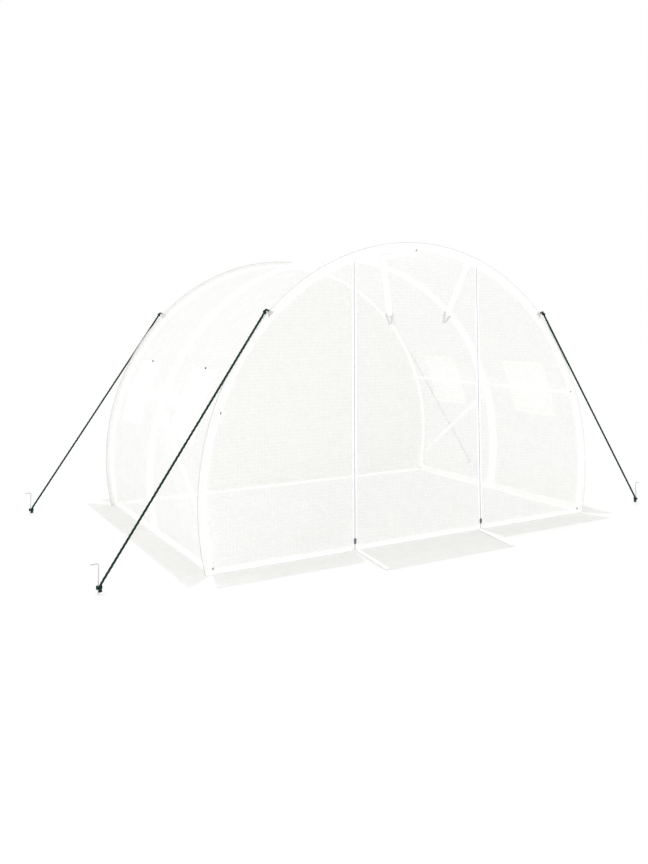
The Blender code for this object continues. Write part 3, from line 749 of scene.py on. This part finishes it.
def window(label, side, bay, y):
    """One window, with its middle at y: net, tape, flap with its hem, seam and toggle."""
    near, far = y - WINDOW_HALF, y + WINDOW_HALF
    net_rows = strand_steps(near, far, NET_PITCH, NET_STRAND)
    rim_rows = (near - WINDOW_EDGE, far + WINDOW_EDGE)
    flap_body = f"{label}_flap_{bay}"

    def place(lift):
        return lambda angle, row: cover_at(angle if side > 0 else 180 - angle, row, lift)

    def woven(angle, row):
        return not (between_strands(net_angles, angle) and between_strands(net_rows, row))

    def on_tape(angle, row):
        away = max(abs(angle - PURLIN_ANGLE) - WINDOW_SPAN - 0.15,
                   (abs(row - y) - WINDOW_HALF - 0.0026) * RISE)
        return away > -TAPE_HALF * RISE

    def on_hem(angle, row):
        side_hem = abs(row - y) > WINDOW_HALF + WINDOW_EDGE - FLAP_HEM
        return side_hem or angle < rim_low + FLAP_HEM * RISE

    net = cloth_sheet(f"{label}_net_{bay}_cloth", [rim_low] + net_angles + [rim_high],
                      [rim_rows[0]] + net_rows + [rim_rows[1]], place(-LAYER), NET_CLOTH_PAINTED_GLOW,
                      keep=woven)
    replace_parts(net, f"{label}_net_{bay}")

    tape_rise = TAPE_HALF * RISE
    tape = cloth_sheet(f"{label}_tape_{bay}",
                       spread(WINDOW_LOW - tape_rise, WINDOW_HIGH + tape_rise, TAPE_CELLS),
                       spread(near - TAPE_HALF, far + TAPE_HALF, TAPE_CELLS),
                       place(TAPE_LIFT), WEBBING_PAINTED_GLOW, keep=on_tape)

    flap = cloth_sheet(flap_body + "_film", spread(rim_low, rim_high, 26), spread(*rim_rows, 26),
                       place(LAYER), FLAP_FILM_PAINTED_GLOW, flap_body)
    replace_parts(flap, flap_body)
    hem = cloth_sheet(flap_body + "_hem", spread(rim_low, rim_high, 50), spread(*rim_rows, 50),
                      place(HEM_LIFT), WEBBING_PAINTED_GLOW, flap_body, on_hem)
    2 * flap_size[1] + flap_size[0] - 2 * FLAP_HEM
    seam = cloth_sheet(f"{label}_seam_{bay}", [rim_high + SEAM_LOW, rim_high + SEAM_HIGH],
                       spread(*rim_rows, 20), place(SEAM_LIFT), WEBBING_PAINTED_GLOW)
    math.radians(SEAM_HIGH - SEAM_LOW) * COVER_R

    angle = rim_high + TOGGLE_ANGLE
    out = (place(0.1)(angle, y)[0] - place(0)(angle, y)[0]).normalized()
    turned(f"{label}_toggle_{bay}", TOGGLE_PROFILE, place(TOGGLE_LIFT)(angle, y)[0], out,
           DARK_CAP, 18)
    line = [place(0.0016)(step, y)[0] for step in spread(angle - 0.6, angle + 0.9, 5)]
    loop = strip(f"{label}_toggle_loop_{bay}", line, Vector((0, LOOP_WIDTH / 2, 0)), 0.0012, out,
                 WEBBING_PAINTED_GLOW)


for label, side in SIDES:
    for bay, turn in ENDS:
        window(label, side, bay, turn * WINDOW_Y)
print("windows: 4, each net", (len(net_angles) // 2) ** 2, "holes")

# %% [markdown]
# ## The end walls
#
# An end wall is flat film sewn round its edge. The seam stands outside the cover as a fin, and
# because the film is held only along its edge, it bows a few millimetres in soft waves. The
# waves fade out where the film is held: along the hoop, the zips and the ground rail. The fin
# itself is folded over once, so a second narrow layer of denser film follows the arc.

# %% Front and back walls
HEADER_LOW = DOOR_TOP + 0.015
FIN_HEM = (0.021, 0.0005)
PIPING_R = 0.0019


def arc_half_width(z):
    """Half the width of an end wall at a height."""
    return math.sqrt(max(FIN_R ** 2 - (z - HOOP_Z) ** 2, 0.0))


def wall_bow(x, z, seed):
    """How far an end wall stands out of its plane."""
    calm = 1 - smooth(math.hypot(x, z - HOOP_Z), 1.30, 1.50)
    calm *= smooth(z, 0.05, 0.22) * smooth(abs(x), ZIP_X + 0.02, ZIP_X + 0.16)
    soft = ripple(x * 0.9, z * 0.45, seed, 0.20) * 0.0050
    return (soft + ripple(x, z * 0.7, seed + 4, 0.07) * 0.0014) * calm


def half_wall(end, turn, label, side, node, inner, seed, film):
    """Half an end wall, from a straight inner edge out to the arc."""
    top = HOOP_Z + math.sqrt(FIN_R ** 2 - inner ** 2)

    def place(u, z):
        x = side * (inner + max(arc_half_width(z) - inner, 0.0) * u)
        return at(x, turn * (WALL_Y + wall_bow(x, z, seed)), z), (x, z)

    rows = [HEM_Z + (top - HEM_Z) * (1 - (1 - t) ** 1.5) for t in spread(0, 1, 76)]
    wall = cloth_sheet(f"{end}_wall_{label}_film", spread(0, 1, 44), rows, place, film)
    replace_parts(wall, node)
    FIN_R - inner
    top - HEM_Z


def header_at(x, u):
    z = HEADER_LOW + (HOOP_Z + math.sqrt(FIN_R ** 2 - x ** 2) - HEADER_LOW) * u
    return at(x, -WALL_Y, z), (x, z)


for label, side in SIDES:
    half_wall("front", -1, label, side, f"front_wall_{label}", WALL_EDGE, 2.7 + side, WALL_FILM)
header_half = WALL_EDGE - FIT
header = cloth_sheet("front_header_film", spread(-header_half, header_half, 50), spread(0, 1, 8),
                     header_at, WALL_FILM)
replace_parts(header, "front_header")
HOOP_Z + FIN_R - HEADER_LOW
for label, side in SIDES:
    half_wall("back", 1, label, side, "back_wall", 0.0, 11.3, SHADED_BACK_FILM)

fin_foot = ground_angle(FIN_R, HEM_Z)
for label, turn in ENDS:
    def fin_at(angle, radius, turn=turn):
        point = on_arc(radius, angle, turn * (WALL_Y + 0.0009))
        return point, (math.radians(angle) * radius, radius)

    fin = cloth_sheet(f"{label}_fin_hem", spread(fin_foot, 180 - fin_foot, 120),
                      spread(FIN_R - FIN_HEM[0], FIN_R - FIN_HEM[1], 3), fin_at, DOUBLE_FILM_PAINTED_GLOW)
    math.radians(180 - 2 * fin_foot) * FIN_R
    # A grey piping along the fin's outer edge: a rolled hem whose grey paints the shade there.
    rim = [on_arc(FIN_R - PIPING_R, angle, turn * WALL_Y)
           for angle in spread(fin_foot, 180 - fin_foot, 160)]
    rod(f"{label}_fin_piping", rim, PIPING_R, PIPING_PAINTED_SHADE, 10)
print("walls: front in two halves with a header, back in two halves")

# %% [markdown]
# ## The door
#
# The door is one sheet between the zips, sewn to the header and free to swing up when both zips
# are open. The joint turns about a line just under the header. The door's waves go inwards only,
# because the two ties hang in front of it.

# %% Door film, foot seams and the door's ground flap
BLEND = ((0, MIDDLE_Y - WALL_Y, DOOR_TOP + 0.012), (0, MIDDLE_Y - WALL_Y, DOOR_TOP - 0.015))
FOOT_TAPE = 0.020
FOOT_IN = 0.014
FOOT_LAP = (0.026, 0.040, 0.055)


def door_at(x, z):
    calm = smooth(DOOR_HALF - abs(x), 0.03, 0.16) * smooth(z, 0.05, 0.25)
    calm *= 1 - smooth(z, DOOR_TOP - 0.30, DOOR_TOP - 0.05)
    soft = 0.5 + 0.5 * math.sin(x * 13 + z * 2.1 + 2 * ripple(x, z * 0.5, 5.5, 0.3))
    bow = (0.0036 * soft + 0.0014 * (1 + ripple(x, z, 9.1, 0.08))) * calm
    return at(x, bow - WALL_Y, z), (x, z)


door_rows = spread(HEM_Z, DOOR_TOP - 0.03, 80) + spread(DOOR_TOP - 0.022, HEADER_LOW, 8)
door = cloth_sheet("door_panel_film", spread(-DOOR_HALF, DOOR_HALF, 48), door_rows, door_at,
                   WALL_FILM, None)
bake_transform(door)
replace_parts(door, "door_panel")
HEADER_LOW - HEM_Z


def foot_seam(name, columns, place, body="tent"):
    """The tape sewn over the joint of a wall and its skirt; place gives a point and its flat."""
    tape = cloth_sheet(name, columns, spread(0.0008, FOOT_TAPE, 3), place, WEBBING_PAINTED_GLOW, body)


def wall_foot(turn):
    return lambda x, up: (at(x, turn * (WALL_Y + 0.0015), HEM_Z + up), (x, up))


def round_foot(side, up):
    """The angle at a length up round the cover from its foot."""
    angle = cover_foot + math.degrees(up / COVER_R)
    return angle if side > 0 else 180 - angle


foot_half = arc_half_width(HEM_Z + 0.001) - 0.004
foot_seam("door_foot_seam", spread(-DOOR_HALF + FOOT_IN, DOOR_HALF - FOOT_IN, 24),
          wall_foot(-1), "door")
foot_seam("front_foot_seam_left", spread(-foot_half, -WALL_EDGE - FOOT_IN, 20), wall_foot(-1))
foot_seam("front_foot_seam_right", spread(WALL_EDGE + FOOT_IN, foot_half, 20), wall_foot(-1))
foot_seam("back_foot_seam", spread(-foot_half, foot_half, 60), wall_foot(1))
for label, side in SIDES:
    foot_seam(label + "_foot_seam", spread(-COVER_END, COVER_END, 50), lambda y, up:
              (cover_at(round_foot(side, up), y, LAYER)[0], (y, up)))
    lap = cloth_sheet(label + "_foot_lap", [round_foot(side, up) for up in FOOT_LAP],
                      spread(-COVER_END, COVER_END, 50),
                      lambda angle, y: cover_at(angle, y, -LAYER), BAND_CLOTH_PAINTED_GLOW)


def ground_wave(x, y, far, seed):
    """Height of a skirt above the ground: flat at the wall, slack further out."""
    wave = 0.5 + 0.5 * ripple(x, y, seed, 0.19) + 0.3 * ripple(x, y, seed + 5, 0.07)
    return SKIRT + 0.0065 * max(wave, 0.0) * smooth(far, 0.05, 0.9)


def skirt_piece(node, corners, body, seed, counts=(90, 18)):
    """A skirt from its four corners: two along the wall, then the outer two behind them."""
    a, b, c, d = [Vector(corner) for corner in corners]

    def place(u, v):
        near, far = a.lerp(b, u), d.lerp(c, u)
        edge = near.lerp(far, v)
        ragged = 0.004 * ripple(u * 9, 0.0, seed, 1.0) * smooth(v, 0.6, 1.0)
        edge = edge - (far - near).normalized() * abs(ragged)
        return at(edge.x, edge.y, ground_wave(edge.x, edge.y, v, seed)), (edge.x, edge.y)

    skirt = cloth_sheet(node + "_film", spread(0, 1, counts[0]), spread(0, 1, counts[1]), place,
                        SHADED_SKIRT_FILM, body)
    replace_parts(skirt, node)
    return skirt


wall = HALF_LENGTH + TUBE_R + FIT
flap_end = -wall - 0.450
DOOR_FLAP = ((-ZIP_X, -wall), (ZIP_X, -wall), (ZIP_X - 0.100, flap_end),
             (-ZIP_X - 0.065, flap_end))
door_flap = skirt_piece("door_skirt", DOOR_FLAP, "door", 4.4, (60, 30))
print("door:", round(HEADER_LOW - HEM_Z, 3), "m of film, hinged at z", round(DOOR_TOP, 3))

# %% [markdown]
# ## The skirts
#
# The skirts lie on the ground all round and are weighted down in use. They are separate pieces,
# open at the corners, and lie slack: flat where they leave the wall, wavier towards the edge.

# %% Side, front and back skirts
SIDE_SKIRT = 0.195
SIDE_FLARE = 0.17
END_SKIRT = 0.245
END_FLARE = 0.075

side_x = on_arc(COVER_R - FILM / 2, ground_angle(COVER_R - FILM / 2, HEM_Z)).x
side_out, side_end = side_x + SIDE_SKIRT, wall + SIDE_FLARE
corner = side_x - 0.012
inner, out = ZIP_X + 0.006, wall + END_SKIRT
right = ((side_x, wall), (side_x, -wall), (side_out, -side_end), (side_out, side_end))
SKIRTS = {
    "left_skirt": [(-x, -y) for x, y in right],
    "right_skirt": right,
    "front_skirt_left": ((-corner, -wall), (-inner, -wall), (-inner - 0.071, -out),
                         (-corner - END_FLARE, -out)),
    "front_skirt_right": ((inner, -wall), (corner, -wall), (corner + END_FLARE, -out),
                          (inner, -out)),
    "back_skirt": ((corner, wall), (-corner, wall), (-corner - END_FLARE, out),
                   (corner + END_FLARE, out)),
}
for number, (name, corners) in enumerate(SKIRTS.items()):
    skirt_piece(name, corners, "tent", 20.0 + 3 * number)
print("skirts:", len(SKIRTS))

# %% [markdown]
# ## The zips
#
# Two zips run up the door's edges. Each half is a woven tape with a row of teeth along its edge,
# and the two rows mesh across the gap. The slider's solid already has its channel and its pull,
# so it is kept, with its edges rounded and an enamel finish.

# %% Tapes, teeth and sliders
ZIP_LOW = HEM_Z + 0.003
ZIP_HIGH = DOOR_TOP - 0.002
TOOTH_PITCH = 0.0050
TOOTH_DEPTH = 0.0017
TOOTH_BODY = (0.0012, 0.0044, 0.00085)
TOOTH_HEAD = (-0.0009, 0.0014, 0.00120)
TAPE_Y = -(ON_WALL_Y + 0.0006)
ZIP_TAPE_HALF = 0.0070


def teeth(name, x, turn, offset, body):
    """A row of moulded teeth: each is a block with a wider head that reaches over the gap."""
    mesh = bmesh.new()
    z = ZIP_LOW + 0.002 + offset
    while z < ZIP_HIGH - 0.002:
        for root, end, half in (TOOTH_BODY, TOOTH_HEAD):
            low, high = x + turn * root, x + turn * end
            corners = ((low, z - half), (high, z - half), (high, z + half), (low, z + half))
            block(mesh, corners, TAPE_Y - TOOTH_DEPTH, TAPE_Y + TOOTH_DEPTH)
        z += TOOTH_PITCH
    bmesh.ops.recalc_face_normals(mesh, faces=mesh.faces)
    finish_piece(name, mesh, CHAIN, body, smooth_faces=False)


for label, side in SIDES:
    x = side * ZIP_X
    for half, turn, body, offset in (("wall", side, "tent", 0.0), ("door", -side, "door", 0.0025)):
        line = [at(x + turn * 0.0090, TAPE_Y, z) for z in spread(ZIP_LOW, ZIP_HIGH, 40)]
        tape = strip(f"{label}_zip_{half}_tape", line, Vector((ZIP_TAPE_HALF, 0, 0)), 0.0008,
                     Vector((0, 1, 0)), ZIP_TAPE_PAINTED_GLOW, body)
        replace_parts(tape, f"{label}_zip_{half}_side")
        ZIP_HIGH - ZIP_LOW
        teeth(f"{label}_zip_{half}_teeth", x, turn, offset, body)
    dress_solid(label + "_zip_slider", ENAMEL, 0.0006, 2)
print("zips: 2, teeth every", TOOTH_PITCH * 1000, "mm")

# %% [markdown]
# Where the zips end at the ground their binding runs on down the door's ground flap, as a white
# fold along each slanted edge.

# %% Bindings of the door's ground flap
BINDING_HALF = 0.0125

near_left, near_right, far_right, far_left = DOOR_FLAP
for label, near, far, inward in (("left", near_left, far_left, 0.014),
                                 ("right", near_right, far_right, -0.014)):
    line = eased([at(near[0] + inward, near[1] - 0.012, 0.0050),
                  at((near[0] + far[0]) / 2 + inward, near[1] - 0.22, 0.0080),
                  at(far[0] + inward, far[1] + 0.008, 0.0110)], 14, 12)
    across = [ahead.cross(UP).normalized() for ahead in headings(line)]
    lift = [half.cross(ahead) for half, ahead in zip(across, headings(line))]
    binding = strip(label + "_flap_binding", line, [half * BINDING_HALF for half in across],
                    0.0014, lift, WEBBING_PAINTED_GLOW, "door")
    lengths_along(line)[-1]
    print(f"{label} binding: {lengths_along(line)[-1]:.3f} m")

# %% [markdown]
# ## The door's ties
#
# Two webbing straps hang from the header's seam in front of the door. When the door is rolled
# up they go round the roll, and the buckle at each strap's end takes them. A strap lies across
# the hinge line as the door does. At the buckle it is squeezed a little narrower, goes round the
# crossbar and is sewn back on itself.

# %% Straps and buckles
TIE_WIDTH = 0.045
TIE_SQUEEZE = 0.0045
TIE_Y = -(ON_WALL_Y + 0.00075)
FRONT_Y = TIE_Y - 0.0040
TIES = {"left": ((-0.290, DOOR_TOP - 0.006), (-0.245, DOOR_TOP - 0.345), HEADER_LOW + 0.010),
        "right": ((0.430, DOOR_TOP - 0.006), (0.255, DOOR_TOP - 0.340), HEADER_LOW + 0.040)}
LOOP_LINE = ((-0.034, FRONT_Y + 0.0026), (-0.026, FRONT_Y + 0.0020), (-0.010, FRONT_Y),
             (0.002, FRONT_Y - 0.0004), (0.0095, FRONT_Y - 0.0002), (0.0112, FRONT_Y + 0.0016),
             (0.0112, TIE_Y - 0.0005))
LOOP_HALF = 0.0172
STITCH = ((-0.0010, -0.0003), (-0.0010, 0.0003), (0.0010, 0.0003), (0.0010, -0.0003))
STITCH_ROWS = ((0.030, FRONT_Y + 0.0019), (0.0225, FRONT_Y + 0.0012))


def in_front(point, y):
    """A point given as x and height, at a place along the tunnel."""
    return at(point.x, y, point.y)


for label, (top, low, start_z) in TIES.items():
    top, low = Vector(top), Vector(low)
    along = (low - top).normalized()
    across = Vector((-along.y, along.x))
    sideways = Vector((across.x, 0, across.y))
    first = top - along * ((start_z - top.y) / -along.y)
    reach = (low - first).length
    ways = spread(0, reach, 40)
    halves = [sideways * (TIE_WIDTH / 2 - TIE_SQUEEZE * smooth(way, reach - 0.05, reach))
              for way in ways]
    strap = strip(label + "_tie_webbing", [in_front(first + along * way, TIE_Y) for way in ways],
                  halves, 0.0015, Vector((0, 1, 0)), WEBBING_PAINTED_GLOW, None)
    label + "_tie"
    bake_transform(strap)
    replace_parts(strap, label + "_tie")

    line = [in_front(low + along * way, y) for way, y in LOOP_LINE]
    lift = [ahead.cross(sideways).normalized() for ahead in headings(line)]
    loop = strip(label + "_tie_loop", line, sideways * LOOP_HALF, 0.0012, lift, WEBBING_PAINTED_GLOW,
                 label + "_tie")
    for number, (away, back_y) in enumerate(STITCH_ROWS, 1):
        mesh = bmesh.new()
        for step in range(11):
            place = low - along * away + across * (step - 5) * 0.003
            block(mesh, [place + across * a + along * b for a, b in STITCH], back_y,
                  back_y - 0.0007)
        bmesh.ops.recalc_face_normals(mesh, faces=mesh.faces)
        finish_piece(f"{label}_tie_stitches_{number}", mesh, ZIP_TAPE_PAINTED_GLOW, label + "_tie",
                     False)
    dress_solid(label + "_tie_buckle", GREY_PLASTIC, 0.0011, 3)
print("ties:", len(TIES))

# %% [markdown]
# ## Guy ropes, tabs and pegs
#
# A rope of three strands is a round section whose radius dips three times round and turns as it
# goes along. Its colour winds the same way, as a darker band beside each dip, which paints the
# shade between the strands. The rope is taut, so it is straight from the tab to the peg, where it
# bends short and runs down the wire.

# %% Rope material and the rope's line
ROPE_R = 0.0075
ROPE_TWIST = 0.084
STRANDS = 3
ROPE_Y = ON_WALL_Y + ROPE_R
PEG_R = 0.0035
TAB_ANGLE = 44.0
TAB_TIP = FIN_R + 0.0227
KNEE_Z = 0.048
ROPE_END = 0.014
BEND = 0.020


def rope_material(name, light, dark):
    material, paint, shader = new_material(name)
    cloth = paint.node("UVMap", uv_map="cloth")
    turn = cloth.part(0) / ROUND
    along = cloth.part(1)
    # strand darkens the colour in a band beside each dip: painted shade between the strands.
    strand = ((turn - along / ROPE_TWIST) * (STRANDS * 2 * math.pi)).wave() * 0.5 + 0.5
    fibres = ((turn * 3 + along / 0.0016) * (2 * math.pi)).wave() * 0.5 + 0.5
    shade = (strand * 0.35 + fibres * 0.35 + cloth.noise(0.02, 3.0) * 0.3).between(dark, light)
    paint.feed(shader, {"Base Color": shade, "Roughness": 0.62 + fibres * 0.2, "IOR": 1.3,
                        "Normal": fibres.bump(0.0004, 0.6)})
    return material


def strand_dip(turn, way):
    """How far the rope's surface lies below its full radius, between the strands."""
    phase = STRANDS * (turn - way / ROPE_TWIST * 2 * math.pi)
    return 0.0022 * (0.5 - 0.5 * math.cos(phase)) ** 1.5


ROPE_GREEN = rope_material("guy_rope_green", (0.005, 0.048, 0.022), (0.0015, 0.015, 0.0075))
tip = on_arc(TAB_TIP, TAB_ANGLE)
knee = at(PEG_X - PEG_R - ROPE_R - FIT, 0, KNEE_Z)
pull = (knee - tip).normalized()
turn_in, turn_out = knee - pull * BEND, knee - UP * BEND
rope_line = [(tip + pull * FIT).lerp(turn_in, k) for k in spread(0, 1, 230)]
rope_line += [turn_in.lerp(knee, k).lerp(knee.lerp(turn_out, k), k) for k in spread(0, 1, 8)[1:-1]]
rope_line += [turn_out.lerp(Vector((knee.x, knee.y, ROPE_END)), k) for k in spread(0, 1, 8)]
rope_length = lengths_along(rope_line)[-1]
print(f"rope: {rope_length:.3f} m from the tab to its end")

# %% [markdown]
# At the tab the rope is drawn through a metal eyelet and tied with two hitches; at the peg it is
# lashed to the wire with two and a half turns, and a stopper knot ends it. All of these are the
# same `rod`, and all but the eye are wound as a coil.

# %% Tabs, ropes, knots and pegs
RING = ((0.0060, 0.0006), (0.0066, 0.0016), (0.0080, 0.0018), (0.0094, 0.0010), (0.0098, 0.0),
        (0.0060, 0.0))
TAB_HALF = 0.026
TAB_THICK = 0.0034
TAB_GAP = 0.0006
KNOTS_Z = {"lashing": 0.036, "stopper": 0.0165}
HITCH = {"radius": 0.0094, "turns": 2.0, "pitch": 0.0074}
LASHING = {"radius": 0.0106, "turns": 2.6, "pitch": 0.0068, "steps": 22, "widen": 1.36}
STOPPER = {"radius": 0.0078, "turns": 1.4, "pitch": 0.0062, "steps": 16}
BEND_R = 0.0084
BEND_LOW = 0.1531
peg_line = [Vector((0, 0, z)) for z in (0.0, 0.004, 0.012, 0.025, 0.060, 0.110, 0.146)]
peg_line += [Vector((BEND_R - BEND_R * math.cos(a), 0, BEND_LOW + BEND_R * math.sin(a)))
             for a in map(math.radians, spread(0, 90, 10))]
peg_line += [Vector((x, 0, BEND_LOW + BEND_R)) for x in (0.016, 0.030, 0.0435, 0.045)]
peg_radii = [0.0012, 0.0018, 0.0028] + [PEG_R] * (len(peg_line) - 4) + [PEG_R - 0.0010]


def at_corner(point, side, turn, out):
    """A point of the tunnel's middle plane, moved out to the plane of a corner's rope."""
    return Vector((side * point.x, MIDDLE_Y + turn * out, point.z))


def coil(middle, axis, radius, turns, pitch, steps=18, widen=1.0, across=None):
    """Points of a coil about an axis; widen stretches it along across, to go round two things."""
    axis = axis.normalized()
    across = axis.orthogonal().normalized() if across is None else across
    up = axis.cross(across)
    points = []
    for k in range(int(turns * steps) + 1):
        turn = 2 * math.pi * k / steps
        rise = axis * (pitch * (k / steps - turns / 2))
        points.append(middle + rise + across * radius * widen * math.cos(turn)
                      + up * radius * math.sin(turn))
    return points


def tab_plate(name, side, turn):
    """The webbing tab: a plate that narrows from the seam to its tip, with a hatched face."""
    corner = Vector((pull.z, 0, -pull.x)) * 0.008
    swing = math.degrees(TAB_HALF / (COVER_R + FILM / 2))
    low, high = [on_arc(COVER_R + FILM / 2 + 0.0065, TAB_ANGLE + s * swing) for s in (-1, 1)]
    mesh = bmesh.new()
    layer = mesh.loops.layers.uv.new("cloth")

    def spot(u, v, front):
        edge = low.lerp(tip + corner, u).lerp(high.lerp(tip - corner, u), v)
        edge = edge + (high - low) * (0.10 * math.sin(math.pi * u) * (0.5 - v))
        hatch = 0.0004 * math.sin(u * 2 * math.pi * 9) * math.sin(v * 2 * math.pi * 5)
        rim = 0.0008 * (1 - smooth(min(u, 1 - u, v, 1 - v), 0.0, 0.05))
        away = TAB_THICK + hatch - rim if front else TAB_GAP + rim
        point = at_corner(edge, side, turn, ON_WALL_Y + away)
        return mesh.verts.new(point), (u * 0.05, v * 0.04)

    back, front = [[[spot(i / 30, j / 16, face) for j in range(17)] for i in range(31)]
                   for face in (0, 1)]
    for grid in (back, front):
        lay_grid(mesh, layer, grid)
    for k in (0, -1):
        lay_grid(mesh, layer, [back[k], front[k]])
        lay_grid(mesh, layer, [[row[k] for row in back], [row[k] for row in front]])
    bmesh.ops.recalc_face_normals(mesh, faces=mesh.faces)
    return finish_piece(name, mesh, TAB_CLOTH)


def guy_rope(name, side, turn):
    """One corner: its tab and eyelet, its rope with the knots at both ends, and its peg."""
    def here(point, extra=0.0):
        return at_corner(point, side, turn, ROPE_Y + extra)

    def knot(ending, line, radius):
        return rod(name + ending, line, radius, ROPE_GREEN, 12)

    tab = tab_plate(name + "_tab_plate", side, turn)
    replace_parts(tab, name + "_tab")
    hole = on_arc(FIN_R + 0.0067, TAB_ANGLE + 0.1)
    turned(name + "_eyelet", RING, at_corner(hole, side, turn, ON_WALL_Y + 0.0033),
           Vector((0, turn, 0)), EYELET, 28, Vector((1, 0, 0)), closed=True)

    line = [here(point) for point in rope_line]
    rope = rod(name + "_rope_strands", line, ROPE_R, ROPE_GREEN, 24, strand_dip)
    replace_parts(rope, name + "_rope")
    axis = Vector((side * pull.x, 0, pull.z))
    hitch = knot("_hitch", coil(here(tip + pull * 0.024), axis, **HITCH), 0.0036)
    bight = [here(tip + pull * 0.018), here(tip + pull * 0.003, 0.0055),
             here(hole + pull * 0.006, 0.0052), here(hole, 0.0020), here(hole, -0.0060)]
    loop = knot("_rope_eye", eased(bight, 6, 6), 0.0040)
    post = at_corner(Vector((PEG_X, 0, 0)), side, turn, ROPE_Y)
    both = (here(knee) + post) / 2
    wraps = coil(Vector((both.x, both.y, KNOTS_Z["lashing"])), UP, across=Vector((1, 0, 0)),
                 **LASHING)
    lashing = knot("_lashing", wraps, 0.0034)
    stop = here(Vector((knee.x, knee.y, KNOTS_Z["stopper"])))
    stopper = knot("_stopper_knot", coil(stop, UP, **STOPPER), 0.0040)
    peg = rod(name + "_peg_wire", [moved(point, side) + post - UP * post.z for point in peg_line],
              peg_radii, WIRE, 16)
    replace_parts(peg, name + "_peg")


for label, side in SIDES:
    for row, turn in ENDS:
        guy_rope(f"{row}_{label}", side, turn)
print("ropes: 4, pegs: 4")

# %% [markdown]
# ## Studio, light and camera
#
# The object is white film on white, so the light has to do two things: keep the background
# white, and let the film be a little darker than it. The floor is a pale surface that the camera
# sees partly as white and partly as its own shaded self, so the ground inside the tent is a
# little darker, as in the photograph. The world is white for the camera and through the film,
# and a little stronger than that as light. One large soft lamp from high on the left lights the
# cover more than the front wall, which gives the film its two tones.

# %% Floor, world and lamp
FLOOR_SIZE = 40
FLOOR_SHARE = 0.45
WORLD_LEVEL = 1.18


def looked_at(paint):
    """1 for what the camera sees, also in a reflection or through something, and 0 for light."""
    camera, glossy, through = [paint.node("LightPath", out=k) for k in (0, 3, 6)]
    return (camera + glossy + through).clamped()


corners = [(x * FLOOR_SIZE, y * FLOOR_SIZE, -0.001) for x, y in
           ((-1, -1), (1, -1), (1, 1), (-1, 1))]
data = bpy.data.meshes.new("floor")
data.from_pydata(corners, [], [(0, 1, 2, 3)])
floor = new_object("floor", data)
material, paint, shader = new_material("pale_floor")
paint.feed(shader, {"Base Color": (0.90, 0.90, 0.898, 1), "Roughness": 0.9})
white = paint.node("Emission", {0: WHITE, 1: 1.0})
mixed = paint.node("MixShader", {0: looked_at(paint) * FLOOR_SHARE,
                                 1: Wire(paint.tree, shader.outputs[0]), 2: white})
paint.feed(paint.tree.nodes["Material Output"], {"Surface": mixed})
data.materials.append(material)

world = bpy.data.worlds.new("studio")
bpy.context.scene.world = world
world.use_nodes = True
world.node_tree.nodes.clear()
paint = Wire(world.node_tree)
level = looked_at(paint) * (1.0 - WORLD_LEVEL) + WORLD_LEVEL
paint.feed(world.node_tree.nodes.new("ShaderNodeOutputWorld"),
           {"Surface": paint.node("Background", {0: WHITE, 1: level})})

lamp = bpy.data.lights.new("key", "AREA")
lamp.shape = "DISK"
lamp.size = 4.0
lamp.energy = 38
key = new_object("key", lamp)
key.location = (-5.5, -1.0, 5.5)
key.rotation_euler = (Vector((0, 0, 0.8)) - key.location).to_track_quat("-Z", "Y").to_euler()
bpy.context.scene.view_settings.view_transform = "Standard"
print("studio: a floor, a white world and a lamp of", lamp.energy, "W")

# %% [markdown]
# The camera stands about six metres away, a little lower than eye height, and looks up slightly.
# Its place was worked out from some seventy points of the photograph, so that the object's lines
# fall where they do there; the frame is shifted down, as the object sits high in the picture.

# %% Camera
lens = bpy.data.cameras.new("camera")
lens.sensor_width = 36.0
lens.lens = 32.83
lens.shift_y = -0.2064
camera = new_object("camera", lens)
camera.location = (-3.294, -5.316, 1.456)
camera.rotation_euler = (math.radians(95.0), 0, math.radians(-29.97))
bpy.context.scene.camera = camera
print("camera at", [round(c, 2) for c in camera.location])
